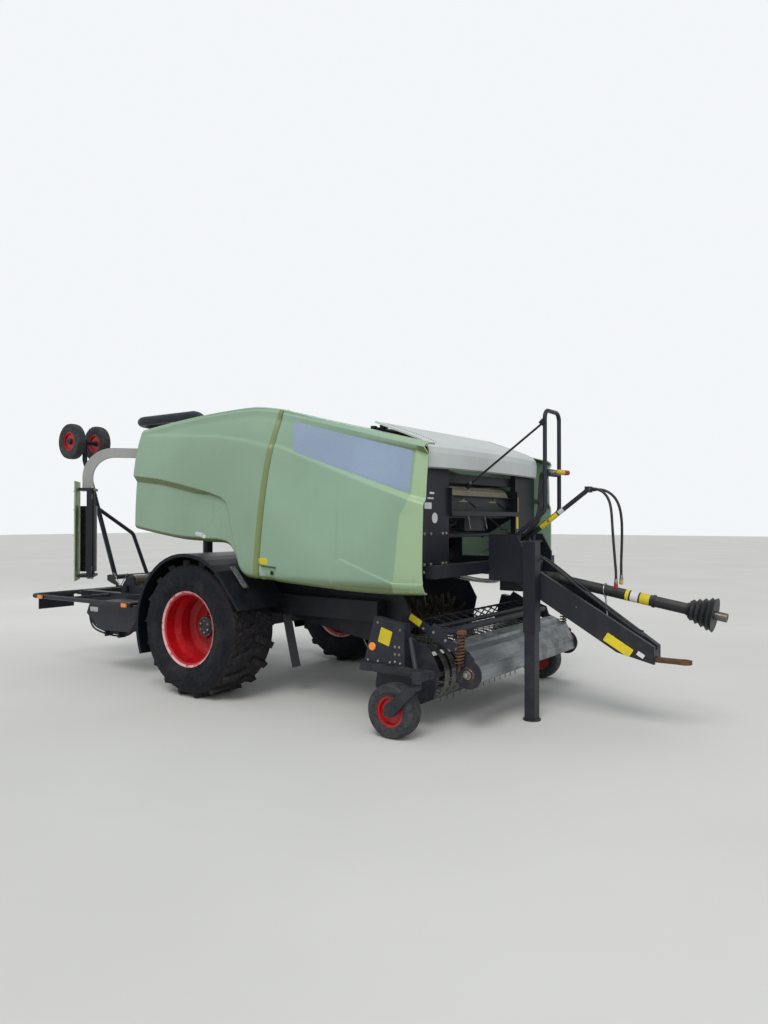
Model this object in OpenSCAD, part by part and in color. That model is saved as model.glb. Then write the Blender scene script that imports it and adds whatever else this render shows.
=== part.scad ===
// Towed round baler with a bale wrapper behind it, standing on its wheels and drawbar jack.
// Millimetres. +X points forward to the hitch eye, +Y to the machine's left, +Z up from the ground.

/* [Main wheels] */
// Distance of the main axle behind the middle of the machine
axle_back = 750; // [700:10:800]
// Outer radius of a main tyre, to the tips of its lugs
tyre_r = 650; // [640:5:660]
// Width of a main tyre
tyre_w = 600; // [560:10:620]
// Middle of a main tyre, across the machine
tyre_y = 1160; // [1150:5:1180]
// Height of the tread lugs
lug_h = 26; // [20:1:32]
// Number of lugs round one half of the tread
lug_count = 18; // [16:1:22]
// Radius of the wheel's bead seat
bead_r = 338; // [330:1:345]
// Inner radius of the mudguard arch
guard_r = 705; // [700:5:720]

/* [Bale chamber] */
// Middle of the bale chamber, along the machine
chamber_x = 200; // [190:5:210]
// Middle of the bale chamber, above the ground
chamber_z = 1500; // [1480:5:1520]
// Outer radius of the chamber's shell
chamber_r = 820; // [810:5:825]
// Half of the width between the outer faces of the chamber walls
chamber_half = 640; // [630:5:645]
// Thickness of the chamber walls
wall_t = 20; // [12:1:24]
// Diameter of a chamber roller
roller_d = 170; // [150:5:180]

/* [Covers] */
// Thickness of the moulded covers
cover_t = 14; // [10:1:18]
// Inner top edge of the front covers, across the machine
front_cover_y = 1090; // [1080:5:1110]
// Inner top edge of the rear covers, across the machine
rear_cover_y = 1040; // [1020:5:1060]
// Half of the hood's width
hood_half = 1055; // [1040:5:1080]

/* [Frame] */
// Inner face of the chassis rails, across the machine
rail_y = 690; // [685:5:700]
// Width of a chassis rail
rail_w = 100; // [80:5:110]
// Underside of the chassis rails
rail_z = 780; // [770:5:790]
// Depth of a chassis rail
rail_h = 180; // [150:5:200]
// Diameter of the gantry tube
gantry_d = 100; // [90:5:110]
// Height of the gantry's level tube
gantry_z = 2800; // [2790:5:2820]
// Diameter of the rear bumper tube
bumper_d = 50; // [40:1:60]

/* [Drawbar] */
// Front end of the hitch eye, ahead of the middle of the machine
eye_x = 3410; // [3380:5:3440]
// Height of the hitch eye's middle plane
eye_z = 560; // [540:5:580]
// Diameter of the hitch eye's hole
eye_bore = 50; // [40:1:52]
// Thickness of the drawbar's beams
beam_t = 60; // [50:1:70]
// Side of the jack's square outer tube
jack_w = 110; // [100:1:120]
// Height of the whole jack
jack_h = 1500; // [1480:5:1520]

/* [Pick-up] */
// Half of the pick-up's working width
pickup_half = 1000; // [980:5:1010]
// Middle of the tined reel, along the machine
reel_x = 1550; // [1540:5:1560]
// Middle of the tined reel, above the ground
reel_z = 420; // [410:5:430]
// Radius to the tips of the reel's tines
tine_r = 300; // [290:1:305]
// Radius of a gauge wheel
gauge_r = 210; // [200:1:215]
// Width of a gauge wheel
gauge_w = 160; // [140:1:170]

/* [Wrapper] */
// Middle of the wrapping rotor behind the middle of the machine
rotor_back = 2450; // [2440:5:2470]
// Radius from the rotor's axis to the film rolls
film_pitch_r = 1130; // [1110:5:1135]
// Diameter of a film roll
film_d = 190; // [160:5:200]
// How far the rotor's arms hang below the gantry's level tube
arm_drop = 310; // [300:5:320]
// Side of a rotor arm's box section
arm_w = 110; // [90:5:120]

/* [Hidden] */
$fn = 48;

// Clearance of a pin in its bore, across the diameter
pin_fit = 0.08;
// Gap left between curved pieces that seat on each other
touch_gap = 0.3;

// How far a bend of a pipe laps over the straight beside it, and how much thicker it is
bend_lap = 3;
bend_swell = 0.8;

axle_x = -axle_back;
rotor_x = -rotor_back;
rail_top = rail_z + rail_h;
guard_t = 12;
guard_out = tyre_y + tyre_w / 2 + 10;
guard_in = tyre_y - tyre_w / 2 - 25;
gantry_x = axle_x - 450;
gantry_y = rail_y + rail_w / 2 + 30;
arm_z = gantry_z - arm_drop;
shell_t = 12;
roller_pitch_r = chamber_r - shell_t - roller_d / 2 - 8;

black = [0.10, 0.11, 0.12];
anthracite = [0.17, 0.19, 0.22];
slate = [0.25, 0.29, 0.34];
pale_green = [0.56, 0.68, 0.56];
wheel_red = [0.75, 0.08, 0.08];
steel = [0.55, 0.56, 0.55];
arm_grey = [0.70, 0.70, 0.67];
zinc = [0.48, 0.48, 0.48];

function unit(v) = v / norm(v);
function turn(a, b) = acos(max(-1, min(1, a * b)));
function arc(cx, cy, r, from, to, n) =
    [for (i = [0 : n]) [cx + r * cos(from + (to - from) * i / n), cy + r * sin(from + (to - from) * i / n)]];

// Box from its lowest to its highest corner
module block(low, high) translate(low) cube(high - low);

// Box and its mirror image on the other side of the machine
module block_pair(low, high) both_sides() block(low, high);

module both_sides() {
    children();
    mirror([0, 1, 0]) children();
}

// Round bar between two points
module rod(p, q, d) {
    v = q - p;
    h = norm(v);
    translate(p)
        rotate([0, acos(v.z / h), atan2(v.y, v.x)])
            cylinder(d = d, h = h);
}

// Quarter or smaller bend of a pipe, at the corner between directions a and b
module elbow(corner, a, b, d, r) {
    sweep = turn(a, b);
    inward = unit(b - a * (a * b));
    centre = corner - a * r * tan(sweep / 2) + inward * r;
    x = -inward;
    z = cross(x, a);
    multmatrix([[x.x, a.x, z.x, centre.x], [x.y, a.y, z.y, centre.y], [x.z, a.z, z.z, centre.z]])
        rotate_extrude(angle = sweep) translate([r, 0]) circle(d = d);
}

// Pipe along a route, bent to radius r at each corner, where the bends swell a little over the ends
module bent_pipe(route, d, r) {
    last = len(route) - 1;
    dirs = [for (i = [0 : last - 1]) unit(route[i + 1] - route[i])];
    cuts = [for (i = [0 : last]) i == 0 || i == last ? 0 :
        r * tan(turn(dirs[i - 1], dirs[i]) / 2) - bend_lap];
    for (i = [0 : last - 1])
        rod(route[i] + dirs[i] * cuts[i], route[i + 1] - dirs[i] * cuts[i + 1], d);
    for (i = [1 : last - 1])
        elbow(route[i], dirs[i - 1], dirs[i], d + bend_swell, r);
}

// Plate drawn as an X-Z outline, from y0 to y1 across the machine
module plate(outline, y0, y1)
    translate([0, y1, 0]) rotate([90, 0, 0])
        linear_extrude(height = y1 - y0) polygon(outline);

// Round bar across the machine
module cross_bar(x, z, d, y0, y1)
    translate([x, y1, z]) rotate([90, 0, 0]) cylinder(d = d, h = y1 - y0);

// Closed shell between two grids of points with the same rows and columns
module skin(outer, inner) {
    rows = len(outer);
    cols = len(outer[0]);
    pts = concat([for (row = outer) each row], [for (row = inner) each row]);
    half = rows * cols;
    function at(i, j) = i * cols + j;
    polyhedron(points = pts, faces = concat(
        [for (i = [0 : rows - 2], j = [0 : cols - 2]) each
            [[at(i, j), at(i, j + 1), at(i + 1, j + 1)], [at(i, j), at(i + 1, j + 1), at(i + 1, j)]]],
        [for (i = [0 : rows - 2], j = [0 : cols - 2]) each
            [[half + at(i, j), half + at(i + 1, j + 1), half + at(i, j + 1)],
             [half + at(i, j), half + at(i + 1, j), half + at(i + 1, j + 1)]]],
        [for (i = [0 : rows - 2]) each
            [[at(i, 0), at(i + 1, 0), half + at(i + 1, 0)], [at(i, 0), half + at(i + 1, 0), half + at(i, 0)],
             [at(i + 1, cols - 1), at(i, cols - 1), half + at(i, cols - 1)],
             [at(i + 1, cols - 1), half + at(i, cols - 1), half + at(i + 1, cols - 1)]]],
        [for (j = [0 : cols - 2]) each
            [[at(0, j + 1), at(0, j), half + at(0, j)], [at(0, j + 1), half + at(0, j), half + at(0, j + 1)],
             [at(rows - 1, j), at(rows - 1, j + 1), half + at(rows - 1, j + 1)],
             [at(rows - 1, j), half + at(rows - 1, j + 1), half + at(rows - 1, j)]]]));
}

// Main wheels

stub_d = 80;
stub_end = tyre_y - 20;
hub_end = tyre_y + 50;
disc_y = tyre_y - 30;
disc_depth = tyre_y - disc_y;
hub_in = disc_y - 60;

// Section of a tyre, as radius and distance from the wheel's middle
function tyre_section(r, w, bead) = let (d = r - bead) [
    [bead, w * 0.405], [bead + 22, w * 0.444], [bead + d * 0.35, w * 0.5], [bead + d * 0.62, w * 0.5],
    [bead + d * 0.84, w * 0.47], [bead + d * 0.95, w * 0.40], [r, w * 0.2],
    [r, -w * 0.2], [bead + d * 0.95, -w * 0.40], [bead + d * 0.84, -w * 0.47],
    [bead + d * 0.62, -w * 0.5], [bead + d * 0.35, -w * 0.5], [bead + 22, -w * 0.444], [bead, -w * 0.405]];

module tyre() {
    carcass_r = tyre_r - lug_h;
    color(black) translate([axle_x, tyre_y, tyre_r]) rotate([90, 0, 0]) {
        rotate_extrude() polygon(tyre_section(carcass_r, tyre_w, bead_r + touch_gap));
        intersection() {
            cylinder(r = tyre_r, h = tyre_w * 0.88, center = true);
            for (side = [-1, 1], k = [0 : lug_count - 1])
                rotate([0, 0, (k + (side > 0 ? 0.5 : 0)) * 360 / lug_count])
                    translate([carcass_r + 10, 0, side * tyre_w * 0.2])
                        rotate([side * 24, 0, 0])
                            cube([60, 62, tyre_w * 0.42], center = true);
        }
    }
}

module rim() {
    color(wheel_red) translate([axle_x, tyre_y, tyre_r]) rotate([90, 0, 0]) mirror([0, 0, 1]) {
        rotate_extrude() polygon([
            [bead_r - 22, -tyre_w * 0.42], [bead_r + 22, -tyre_w * 0.46], [bead_r + 22, -tyre_w * 0.45],
            [bead_r, -tyre_w * 0.41], [bead_r, tyre_w * 0.41], [bead_r + 22, tyre_w * 0.45],
            [bead_r + 22, tyre_w * 0.46], [bead_r - 14, tyre_w * 0.42], [bead_r - 14, tyre_w * 0.25],
            [bead_r - 40, tyre_w * 0.15], [bead_r - 40, -disc_depth + 14], [bead_r - 110, -disc_depth - 6],
            [150, -disc_depth - 6], [150, -disc_depth - 22], [bead_r - 108, -disc_depth - 22],
            [bead_r - 52, -disc_depth]]);
    }
    color(anthracite) translate([axle_x, tyre_y, tyre_r]) rotate([90, 0, 0]) mirror([0, 0, 1])
        difference() {
            union() {
                translate([0, 0, -disc_depth - 60]) cylinder(d = 302, h = 66);
                translate([0, 0, -disc_depth - 60]) cylinder(d = 190, h = 60 + disc_depth + hub_end - tyre_y);
                for (k = [0 : 9])
                    rotate([0, 0, k * 36]) translate([122, 0, -disc_depth]) cylinder(d = 24, h = 34);
            }
            translate([0, 0, -tyre_w]) cylinder(d = stub_d + pin_fit, h = tyre_w + stub_end - tyre_y + 5);
        }
}

module tyre_right() mirror([0, 1, 0]) tyre();
module tyre_left() tyre();
module rim_right() mirror([0, 1, 0]) rim();
module rim_left() rim();

module axle_beam() {
    color(anthracite) difference() {
        union() {
            block([axle_x - 70, -rail_y - rail_w, tyre_r - 70], [axle_x + 70, rail_y + rail_w, tyre_r + 70]);
            both_sides() {
                cross_bar(axle_x, tyre_r, stub_d, rail_y, stub_end);
                cross_bar(axle_x, tyre_r, 170, rail_y, hub_in - 6);
                block([axle_x - 160, rail_y + 10, tyre_r + 60], [axle_x + 160, rail_y + rail_w - 10, rail_z]);
            }
        }
    }
}

// Outline of a mudguard about the axle: an arch with a straight front panel, from radius r_out to r_in
guard_front = 52;
guard_rear = 204;
guard_foot = [738, 225];
function guard_outline(r_out, r_in) = concat(
    [guard_foot], arc(0, 0, r_out, guard_front, guard_rear, 20),
    arc(0, 0, r_in, guard_rear, guard_front, 20), [guard_foot - [r_out - r_in, 0] * 1.2]);

module mudguards() {
    color(black) both_sides() {
        translate([axle_x, guard_out, tyre_r]) rotate([90, 0, 0]) {
            linear_extrude(height = guard_out - guard_in) polygon(guard_outline(guard_r + guard_t, guard_r));
            linear_extrude(height = 24) polygon(guard_outline(guard_r + guard_t, guard_r - 20));
        }
        for (a = [64, 142]) {
            foot = [axle_x + guard_r * cos(a), tyre_r + guard_r * sin(a)];
            translate([axle_x, 0, tyre_r]) rotate([0, -a, 0])
                block([guard_r - 16, rail_y + rail_w, -25], [guard_r + 4, guard_in + 30, 25]);
            block([foot.x - 20, rail_y + rail_w, rail_z + 50], [foot.x + 20, rail_y + rail_w + 12, foot.y]);
        }
    }
}

// Chassis and chamber

module chassis_frame() {
    color(anthracite) {
        block_pair([axle_x - 950, rail_y, rail_z], [chamber_x + 800, rail_y + rail_w, rail_top]);
        block([axle_x - 950, -rail_y - 1, rail_z + 46], [axle_x - 830, rail_y + 1, rail_top - 20]);
        block_pair([chamber_x + 100, chamber_half, rail_z + 30], [chamber_x + 300, rail_y + 1, rail_top - 30]);
        block_pair([chamber_x + 620, chamber_half, rail_z + 30], [chamber_x + 780, rail_y + 1, rail_top - 30]);
    }
}

fixed_edge = chamber_x + 8;
pivot_x = chamber_x + 150;
pivot_z = chamber_z + 900;
pivot_pin = 60;
feed_x = chamber_x + 790;
feed_z = 700;
feed_r = 250;
feed_shaft = 100;
lift_boss = 140;
lift_arm_y = chamber_half + 30;
lift_arm_t = 15;
hinge_y = chamber_half + 30;

module chamber_wall() {
    outline = [[fixed_edge, chamber_z - chamber_r], [feed_x - 60, 560], [feed_x + 180, 620],
        [feed_x + 240, 900], [chamber_x + chamber_r + 40, chamber_z - 300],
        [chamber_x + chamber_r + 40, chamber_z + 200], [chamber_x + 560, pivot_z - 120],
        [pivot_x + 90, pivot_z + 70], [pivot_x - 90, pivot_z + 70], [fixed_edge, pivot_z - 60]];
    color(anthracite) {
        difference() {
            union() {
                plate(outline, chamber_half - wall_t, chamber_half);
                cross_bar(feed_x, feed_z, lift_boss, chamber_half - 1, lift_arm_y + lift_arm_t + 1);
            }
            cross_bar(feed_x, feed_z, feed_shaft + pin_fit, chamber_half - 60, chamber_half + 14);
        }
        cross_bar(pivot_x, pivot_z, pivot_pin, chamber_half - 1, hinge_y + 10);
        for (a = [-5, 20, 65])
            translate([chamber_x, 0, chamber_z]) rotate([0, -a, 0])
                block([300, chamber_half - 1, -20], [chamber_r - 20, chamber_half + 28, 20]);
    }
}
module chamber_wall_right() mirror([0, 1, 0]) chamber_wall();
module chamber_wall_left() chamber_wall();

roller_half = chamber_half - wall_t - 4;

// Ribbed roller at an angle round the chamber
module chamber_roller(a) {
    translate([chamber_x + roller_pitch_r * cos(a), 0, chamber_z + roller_pitch_r * sin(a)])
        rotate([90, 0, 0]) {
            cylinder(d = roller_d, h = 2 * roller_half, center = true);
            cylinder(d = 60, h = 2 * (chamber_half - wall_t) - 2 * touch_gap, center = true);
        }
}

module chamber_rollers() {
    color(steel) for (a = [-72, -14, 10, 34, 58, 82]) chamber_roller(a);
}

module feed_pan() {
    pan_r = feed_r + 30;
    color(steel) translate([feed_x, 0, feed_z]) rotate([90, 0, 0])
        linear_extrude(height = 2 * (chamber_half - wall_t) - 2 * touch_gap, center = true)
            polygon(concat(arc(0, 0, pan_r + 12, 190, 300, 12), arc(0, 0, pan_r, 300, 190, 12)));
}

module feed_rotor() {
    color(anthracite) translate([feed_x, 0, feed_z]) rotate([90, 0, 0]) {
        cylinder(d = 150, h = 2 * roller_half, center = true);
        cylinder(d = feed_shaft, h = 2 * (chamber_half + 8), center = true);
        for (k = [-7 : 7])
            translate([0, 0, k * 78 - 5]) rotate([0, 0, k * 24])
                linear_extrude(height = 10) for (s = [0 : 3]) rotate([0, 0, s * 90])
                    polygon([[52, -36], [feed_r, -12], [feed_r - 4, 14], [52, 34]]);
    }
}

beam_x = 1790;
beam_z = 1220;
beam_s = 100;

post_x = 1652;
net_t = 12;
post_in = chamber_half + net_t + touch_gap;
post_out = 1100;
post_depth = 52;
post_top = 2190;
cross_z = 2010;

module front_frame() {
    color(anthracite) {
        block([beam_x - beam_s / 2, -1180, beam_z], [beam_x + beam_s / 2, 1180, beam_z + beam_s]);
        block_pair([chamber_x + 700, chamber_half, beam_z],
            [beam_x - beam_s / 2 + 1, chamber_half + 60, beam_z + beam_s]);
        block_pair([chamber_x + 560, chamber_half, cross_z],
            [post_x - post_depth - 59, chamber_half + 50, cross_z + 80]);
        block([post_x - post_depth - 60, -post_out + 40, cross_z], [post_x - post_depth, post_out - 40, cross_z + 80]);
    }
}

module front_posts() {
    color(anthracite) both_sides()
        translate([0, 0, beam_z + beam_s]) linear_extrude(height = post_top - beam_z - beam_s) polygon([
            [post_x, post_in], [post_x, post_out], [post_x - post_depth, post_out],
            [post_x - post_depth, post_out - 12], [post_x - 12, post_out - 12], [post_x - 12, post_in + 12],
            [post_x - post_depth, post_in + 12], [post_x - post_depth, post_in]]);
}

net_x = 1480;
net_z = 1880;

module net_roll() {
    color([0.72, 0.68, 0.58]) {
        cross_bar(net_x, net_z, 220, -615, 615);
        cross_bar(net_x, net_z, 60, -chamber_half + touch_gap, chamber_half - touch_gap);
    }
}

module net_frame() {
    color(anthracite) {
        both_sides() plate([[net_x - 200, 1960], [net_x + 200, 1960], [net_x + 200, 1740], [net_x - 200, 1500]],
            chamber_half, chamber_half + net_t);
        block([net_x + 140, -chamber_half - 2, 1720], [net_x + 200, chamber_half + 2, 1760]);
        block([net_x - 180, -chamber_half - 2, 1520], [net_x - 100, chamber_half + 2, 1600]);
    }
}

top_rail_y = 980;
top_rail_z = 2640;
front_rail_end = [post_x - post_depth / 2, 2300];
hinge_pin_d = 16;
knuckle_d = 34;
top_rail_d = 50;
top_brace_d = 46;
hood_pivot = [1150, 2490];

// Top edge of the front covers, as a height for a place along the machine
function front_top(x) = 2690 - (x - 200) * 0.2487;
front_slope = atan(0.2487);
front_hinge_y = front_cover_y - 12;
rear_hinge_y = rear_cover_y - 12;
rear_hinge_z = 2690;
front_knuckles = [420, 1500];
rear_knuckles = [-1250, 130];

// Children set on a front cover's hinge line, with their own X along it
module on_front_hinge(x) translate([x, front_hinge_y, front_top(x) - 10]) rotate([0, front_slope, 0]) children();
module on_rear_hinge(x) translate([x, rear_hinge_y, rear_hinge_z]) children();
module hinge_barrel(d, from, to) translate([from, 0, 0]) rotate([0, 90, 0]) cylinder(d = d, h = to - from);

module top_frame() {
    color(slate) {
        both_sides() {
            bent_pipe([[axle_x - 750, top_rail_y, top_rail_z], [190, top_rail_y, top_rail_z],
                [front_rail_end.x, top_rail_y, front_rail_end.y], [front_rail_end.x, top_rail_y, post_top]], top_rail_d, 80);
            cross_bar(gantry_x, top_rail_z, top_brace_d, gantry_y + gantry_d / 2 + touch_gap, top_rail_y);
            on_front_hinge_all();
            for (x = rear_knuckles) on_rear_hinge(x) {
                hinge_barrel(hinge_pin_d, -70, 40);
                block([-80, top_rail_y - rear_hinge_y, -60], [-50, 6, 6]);
            }
            block([hood_pivot.x - 70, top_rail_y - 20, 2390], [hood_pivot.x - 30, top_rail_y + 20, hood_pivot.y]);
            block([hood_pivot.x - 30, 900, hood_pivot.y - 40], [hood_pivot.x + 16, 920, hood_pivot.y + 16]);
            cross_bar(hood_pivot.x, hood_pivot.y, hinge_pin_d, 850, 901);
        }
        for (x = [axle_x - 330, 120])
            cross_bar(x, top_rail_z, top_brace_d, -top_rail_y, top_rail_y);
        cross_bar(hood_pivot.x - 50, hood_pivot.y - 26, top_brace_d, -top_rail_y, top_rail_y);
        both_sides()
            block([pivot_x - 30, chamber_half - 22, pivot_z + 70], [pivot_x + 30, chamber_half + 2, top_rail_z - 60]);
        cross_bar(pivot_x, top_rail_z - 60, top_brace_d, -top_rail_y + 4, top_rail_y - 4);
    }
}

module on_front_hinge_all()
    for (x = front_knuckles) on_front_hinge(x) {
        hinge_barrel(hinge_pin_d, -70, 40);
        block([-80, top_rail_y - front_hinge_y - 10, -120], [-50, 6, 6]);
    }

// Drawbar, jack and drive

drawbar_rear = 2050;
drawbar_rear_y = 232;
head_half = drawbar_rear_y + beam_t / 2;
drawbar_tip = 3200;
drawbar_tip_y = 60;
drawbar_turn = atan((drawbar_rear_y - drawbar_tip_y) / (drawbar_tip - drawbar_rear));
drawbar_run = (drawbar_tip - drawbar_rear) / cos(drawbar_turn);

// Outer face of a drawbar beam, across the machine, for a place along it
function beam_face(x) = drawbar_rear_y + beam_t / 2 / cos(drawbar_turn) - (x - drawbar_rear) * tan(drawbar_turn);

module drawbar_head() {
    color(anthracite) {
        both_sides() plate([[beam_x + 50, beam_z - 60], [2190, 1150], [2190, 1400], [2100, 1560],
            [beam_x + 50, 1560]], head_half, head_half + 22);
        block([beam_x + 50, -head_half - 1, beam_z - 60], [beam_x + 90, head_half + 1, 1500]);
        block([beam_x + 50, -head_half - 1, 1480], [2120, head_half + 1, 1500]);
    }
}

module drawbar() {
    color(anthracite) {
        both_sides() translate([drawbar_rear, drawbar_rear_y, 0]) rotate([0, 0, -drawbar_turn])
            plate([[0, 1390], [0, 1160], [870, 610], [drawbar_run, 530], [drawbar_run, 670]],
                -beam_t / 2, beam_t / 2);
        block([3060, -60, 560], [drawbar_tip, 60, 640]);
        block([2420, -170, 940], [2500, 170, 1000]);
    }
}

module hitch_eye() {
    color([0.45, 0.33, 0.25]) difference() {
        union() {
            block([drawbar_tip, -50, eye_z - 15], [eye_x, 50, eye_z + 15]);
            translate([eye_x, 0, eye_z - 15]) cylinder(r = 60, h = 30);
        }
        translate([eye_x, 0, eye_z - 30]) cylinder(d = eye_bore, h = 60);
    }
}

pto_z = 1190;
pto_rear = 2260;
pto_end = [3650, 0, 945];

module gearbox() {
    color(anthracite) {
        block([beam_x + 90, -150, 1060], [2160, 150, 1340]);
        translate([2150, 0, pto_z]) rotate([0, 90, 0]) cylinder(d = 90, h = pto_rear - 2150);
    }
}

module pto_shaft() {
    v = unit(pto_end - [pto_rear, 0, pto_z]);
    color(black) {
        rod([pto_rear, 0, pto_z] + v * (touch_gap - 45 * v.z) / v.x, pto_end - v * 200, 90);
        translate(pto_end - v * 200)
            rotate([0, acos(v.z), 0])
                rotate_extrude() polygon([[0, 0], [70, 0], [85, 20], [75, 40], [100, 60], [88, 80], [115, 105],
                    [100, 125], [130, 150], [118, 165], [135, 190], [0, 190]]);
    }
}

module pto_yoke() {
    v = unit(pto_end - [pto_rear, 0, pto_z]);
    color(steel) translate(pto_end - v * (10 - touch_gap)) rotate([0, acos(v.z), 0])
        difference() {
            cylinder(d = 70, h = 90);
            translate([0, 0, 20]) cylinder(d = 35, h = 90);
        }
}

jack_x = 2250;
jack_y = -beam_face(jack_x) - jack_w / 2 - 10;
jack_wall = 8;
leg_w = jack_w - 2 * jack_wall - 2 * touch_gap;
leg_top = 1020;
foot_d = 150;

module jack_tube() {
    color(anthracite) {
        difference() {
            block([jack_x - jack_w / 2, jack_y - jack_w / 2, 740], [jack_x + jack_w / 2, jack_y + jack_w / 2, jack_h]);
            block([jack_x - jack_w / 2 + jack_wall, jack_y - jack_w / 2 + jack_wall, 700],
                [jack_x + jack_w / 2 - jack_wall, jack_y + jack_w / 2 - jack_wall, jack_h - 10]);
        }
        translate([0, 0, 1060]) linear_extrude(height = 160) polygon([
            [jack_x - 40, jack_y + jack_w / 2 - 1], [jack_x + 40, jack_y + jack_w / 2 - 1],
            [jack_x + 40, -beam_face(jack_x + 40) - touch_gap], [jack_x - 40, -beam_face(jack_x - 40) - touch_gap]]);
    }
}

module jack_leg() {
    color(slate) {
        block([jack_x - leg_w / 2, jack_y - leg_w / 2, 12], [jack_x + leg_w / 2, jack_y + leg_w / 2, leg_top]);
        translate([jack_x, jack_y, 0]) cylinder(d = foot_d, h = 12);
    }
}

module hose_hoop() {
    color(anthracite)
        bent_pipe([[2085, -200, 1500], [2085, -200, 1570], [2330, -200, 1760], [2330, -200, 2620],
            [2330, 110, 2620], [2330, 110, 1760], [2085, 110, 1570], [2085, 110, 1500]], 36, 70);
    color(anthracite) {
        rod([2105, -40, 1530], [2650, -40, 1940], 40);
        block([2085, -60, 1500], [2120, -20, 1545]);
        block([hose_clip_x - 40, -80, 1915], [hose_clip_x, 0, 1965]);
    }
}

// Hoses that hang from the clip at the holder's end
hose_clip_x = 2672;
hose_d = 22;
hose_sides = 8;
plug_d = 34;
plug_h = 70;
route_right = [[2672, -60, 1940], [2722, -60, 1940], [2770, -63, 1924], [2810, -68, 1890], [2838, -74, 1843],
    [2854, -80, 1790], [2863, -86, 1734], [2869, -92, 1678], [2874, -97, 1622], [2879, -101, 1566],
    [2884, -104, 1510], [2889, -106, 1454], [2894, -108, 1398], [2899, -110, 1342], [2904, -110, 1286],
    [2906, -110, 1240], [2906, -110, 1190]];
route_left = [[2672, -20, 1940], [2724, -20, 1940], [2776, -18, 1932], [2824, -13, 1908], [2862, -6, 1870],
    [2888, 2, 1822], [2902, 12, 1768], [2908, 22, 1712], [2909, 33, 1656], [2907, 43, 1600],
    [2904, 52, 1544], [2900, 60, 1488], [2896, 67, 1432], [2892, 73, 1376], [2889, 77, 1320],
    [2888, 80, 1262], [2888, 80, 1210]];

// Direction of a route at one of its points
function heading(route, i) = unit(route[min(i + 1, len(route) - 1)] - route[max(i - 1, 0)]);
function hose_ring(p, t) = let (u = unit(cross([0, 1, 0], t)), v = cross(t, u))
    [for (k = [0 : hose_sides - 1]) let (a = 360 * k / hose_sides) p + (u * cos(a) + v * sin(a)) * hose_d / 2];

module hose(route) {
    last = len(route) - 1;
    n = hose_sides;
    ends = [for (k = [0 : n - 1]) k];
    polyhedron(points = [for (i = [0 : last]) each hose_ring(route[i], heading(route, i))],
        faces = concat([ends], [[for (k = ends) last * n + n - 1 - k]],
            [for (i = [0 : last - 1], k = [0 : n - 1]) each
                [[i * n + k, (i + 1) * n + k, (i + 1) * n + (k + 1) % n],
                 [i * n + k, (i + 1) * n + (k + 1) % n, i * n + (k + 1) % n]]]));
}

module hose_right() color(black) hose(route_right);
module hose_left() color(black) hose(route_left);
module hose_plugs() {
    color(zinc) for (route = [route_right, route_left]) {
        tip = route[len(route) - 1];
        translate(tip - [0, 0, plug_h]) cylinder(d = plug_d, h = plug_h);
    }
}

// Wrapper frame and gantry

wrap_rear = -3560;
table_pivot = [-2860, 850];
table_z = 950;
table_half = 550;
table_pin = 50;
tipper_pivot = [-3790, 930];
tipper_pin = 40;
tipper_ears = [-120, 530];

module wrap_frame() {
    color(anthracite) {
        block_pair([wrap_rear, rail_y - 100, 700], [axle_x - 500, rail_y, 820]);
        block([wrap_rear, -rail_y + 99, 700], [wrap_rear + 100, rail_y - 99, 820]);
        block([axle_x - 620, -rail_y + 99, 700], [axle_x - 520, rail_y - 99, 760]);
        both_sides() {
            block([table_pivot.x - 50, table_half + 15, 760], [table_pivot.x + 50, rail_y - 99, 900]);
            cross_bar(table_pivot.x, table_pivot.y, table_pin, table_half - 35, table_half + 16);
        }
        for (y = tipper_ears)
            plate([[wrap_rear + 1, 720], [wrap_rear + 1, 820], [tipper_pivot.x + 20, 970], [tipper_pivot.x - 40, 960],
                [tipper_pivot.x - 40, 895], [-3740, 860], [-3650, 838], [-3610, 720]], y - 10, y + 10);
        cross_bar(tipper_pivot.x, tipper_pivot.y, tipper_pin, tipper_ears.x, tipper_ears.y);
    }
}

rotor_pin = 80;

module gantry() {
    color(slate) {
        bent_pipe([[gantry_x, -gantry_y, rail_top], [gantry_x, -gantry_y, gantry_z], [rotor_x, -gantry_y, gantry_z],
            [rotor_x, gantry_y, gantry_z], [gantry_x, gantry_y, gantry_z], [gantry_x, gantry_y, rail_top]],
            gantry_d, 250);
        translate([rotor_x, 0, arm_z + arm_w / 2 + 40]) cylinder(d = 300, h = gantry_z - arm_z - arm_w / 2 - 60);
        translate([rotor_x, 0, arm_z - 60]) cylinder(d = rotor_pin, h = 200);
    }
}

module bumper() {
    color(slate) {
        bent_pipe([[-1830, -1250, 790], [-3700, -1250, 790], [-3700, 1250, 790], [-1830, 1250, 790]],
            bumper_d, 90);
        both_sides() for (x = [-1950, -3000]) cross_bar(x, 790, 40, rail_y, 1250);
        both_sides() rod([wrap_rear, 640, 775], [-3700, 640, 775], 40);
    }
}

module lamp_board() {
    color(anthracite) both_sides()
        block([-3707, 700, 620], [-3693, 1160, 790 - bumper_d / 2 - touch_gap]);
}

module side_boxes() {
    color(slate) both_sides()
        plate([[-2700, 765], [-1880, 765], [-1860, 640], [-2000, 480], [-2500, 470], [-2760, 640]], rail_y, 1150);
}

module marker_lamps() {
    color([0.9, 0.45, 0.05]) both_sides()
        for (x = [-3460, -1900]) block([x - 40, 1250 + bumper_d / 2 + touch_gap, 770], [x + 40, 1300, 810]);
}

// Pick-up

reel_shaft = 60;
guard_pivot = [1450, 700];
guard_pin = 30;
main_tube = [1210, 330];
band_rail_x = 1250;
castor_x = 1800;
castor_y = 1395;
castor_low = 435;
castor_pin = 40;

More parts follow.
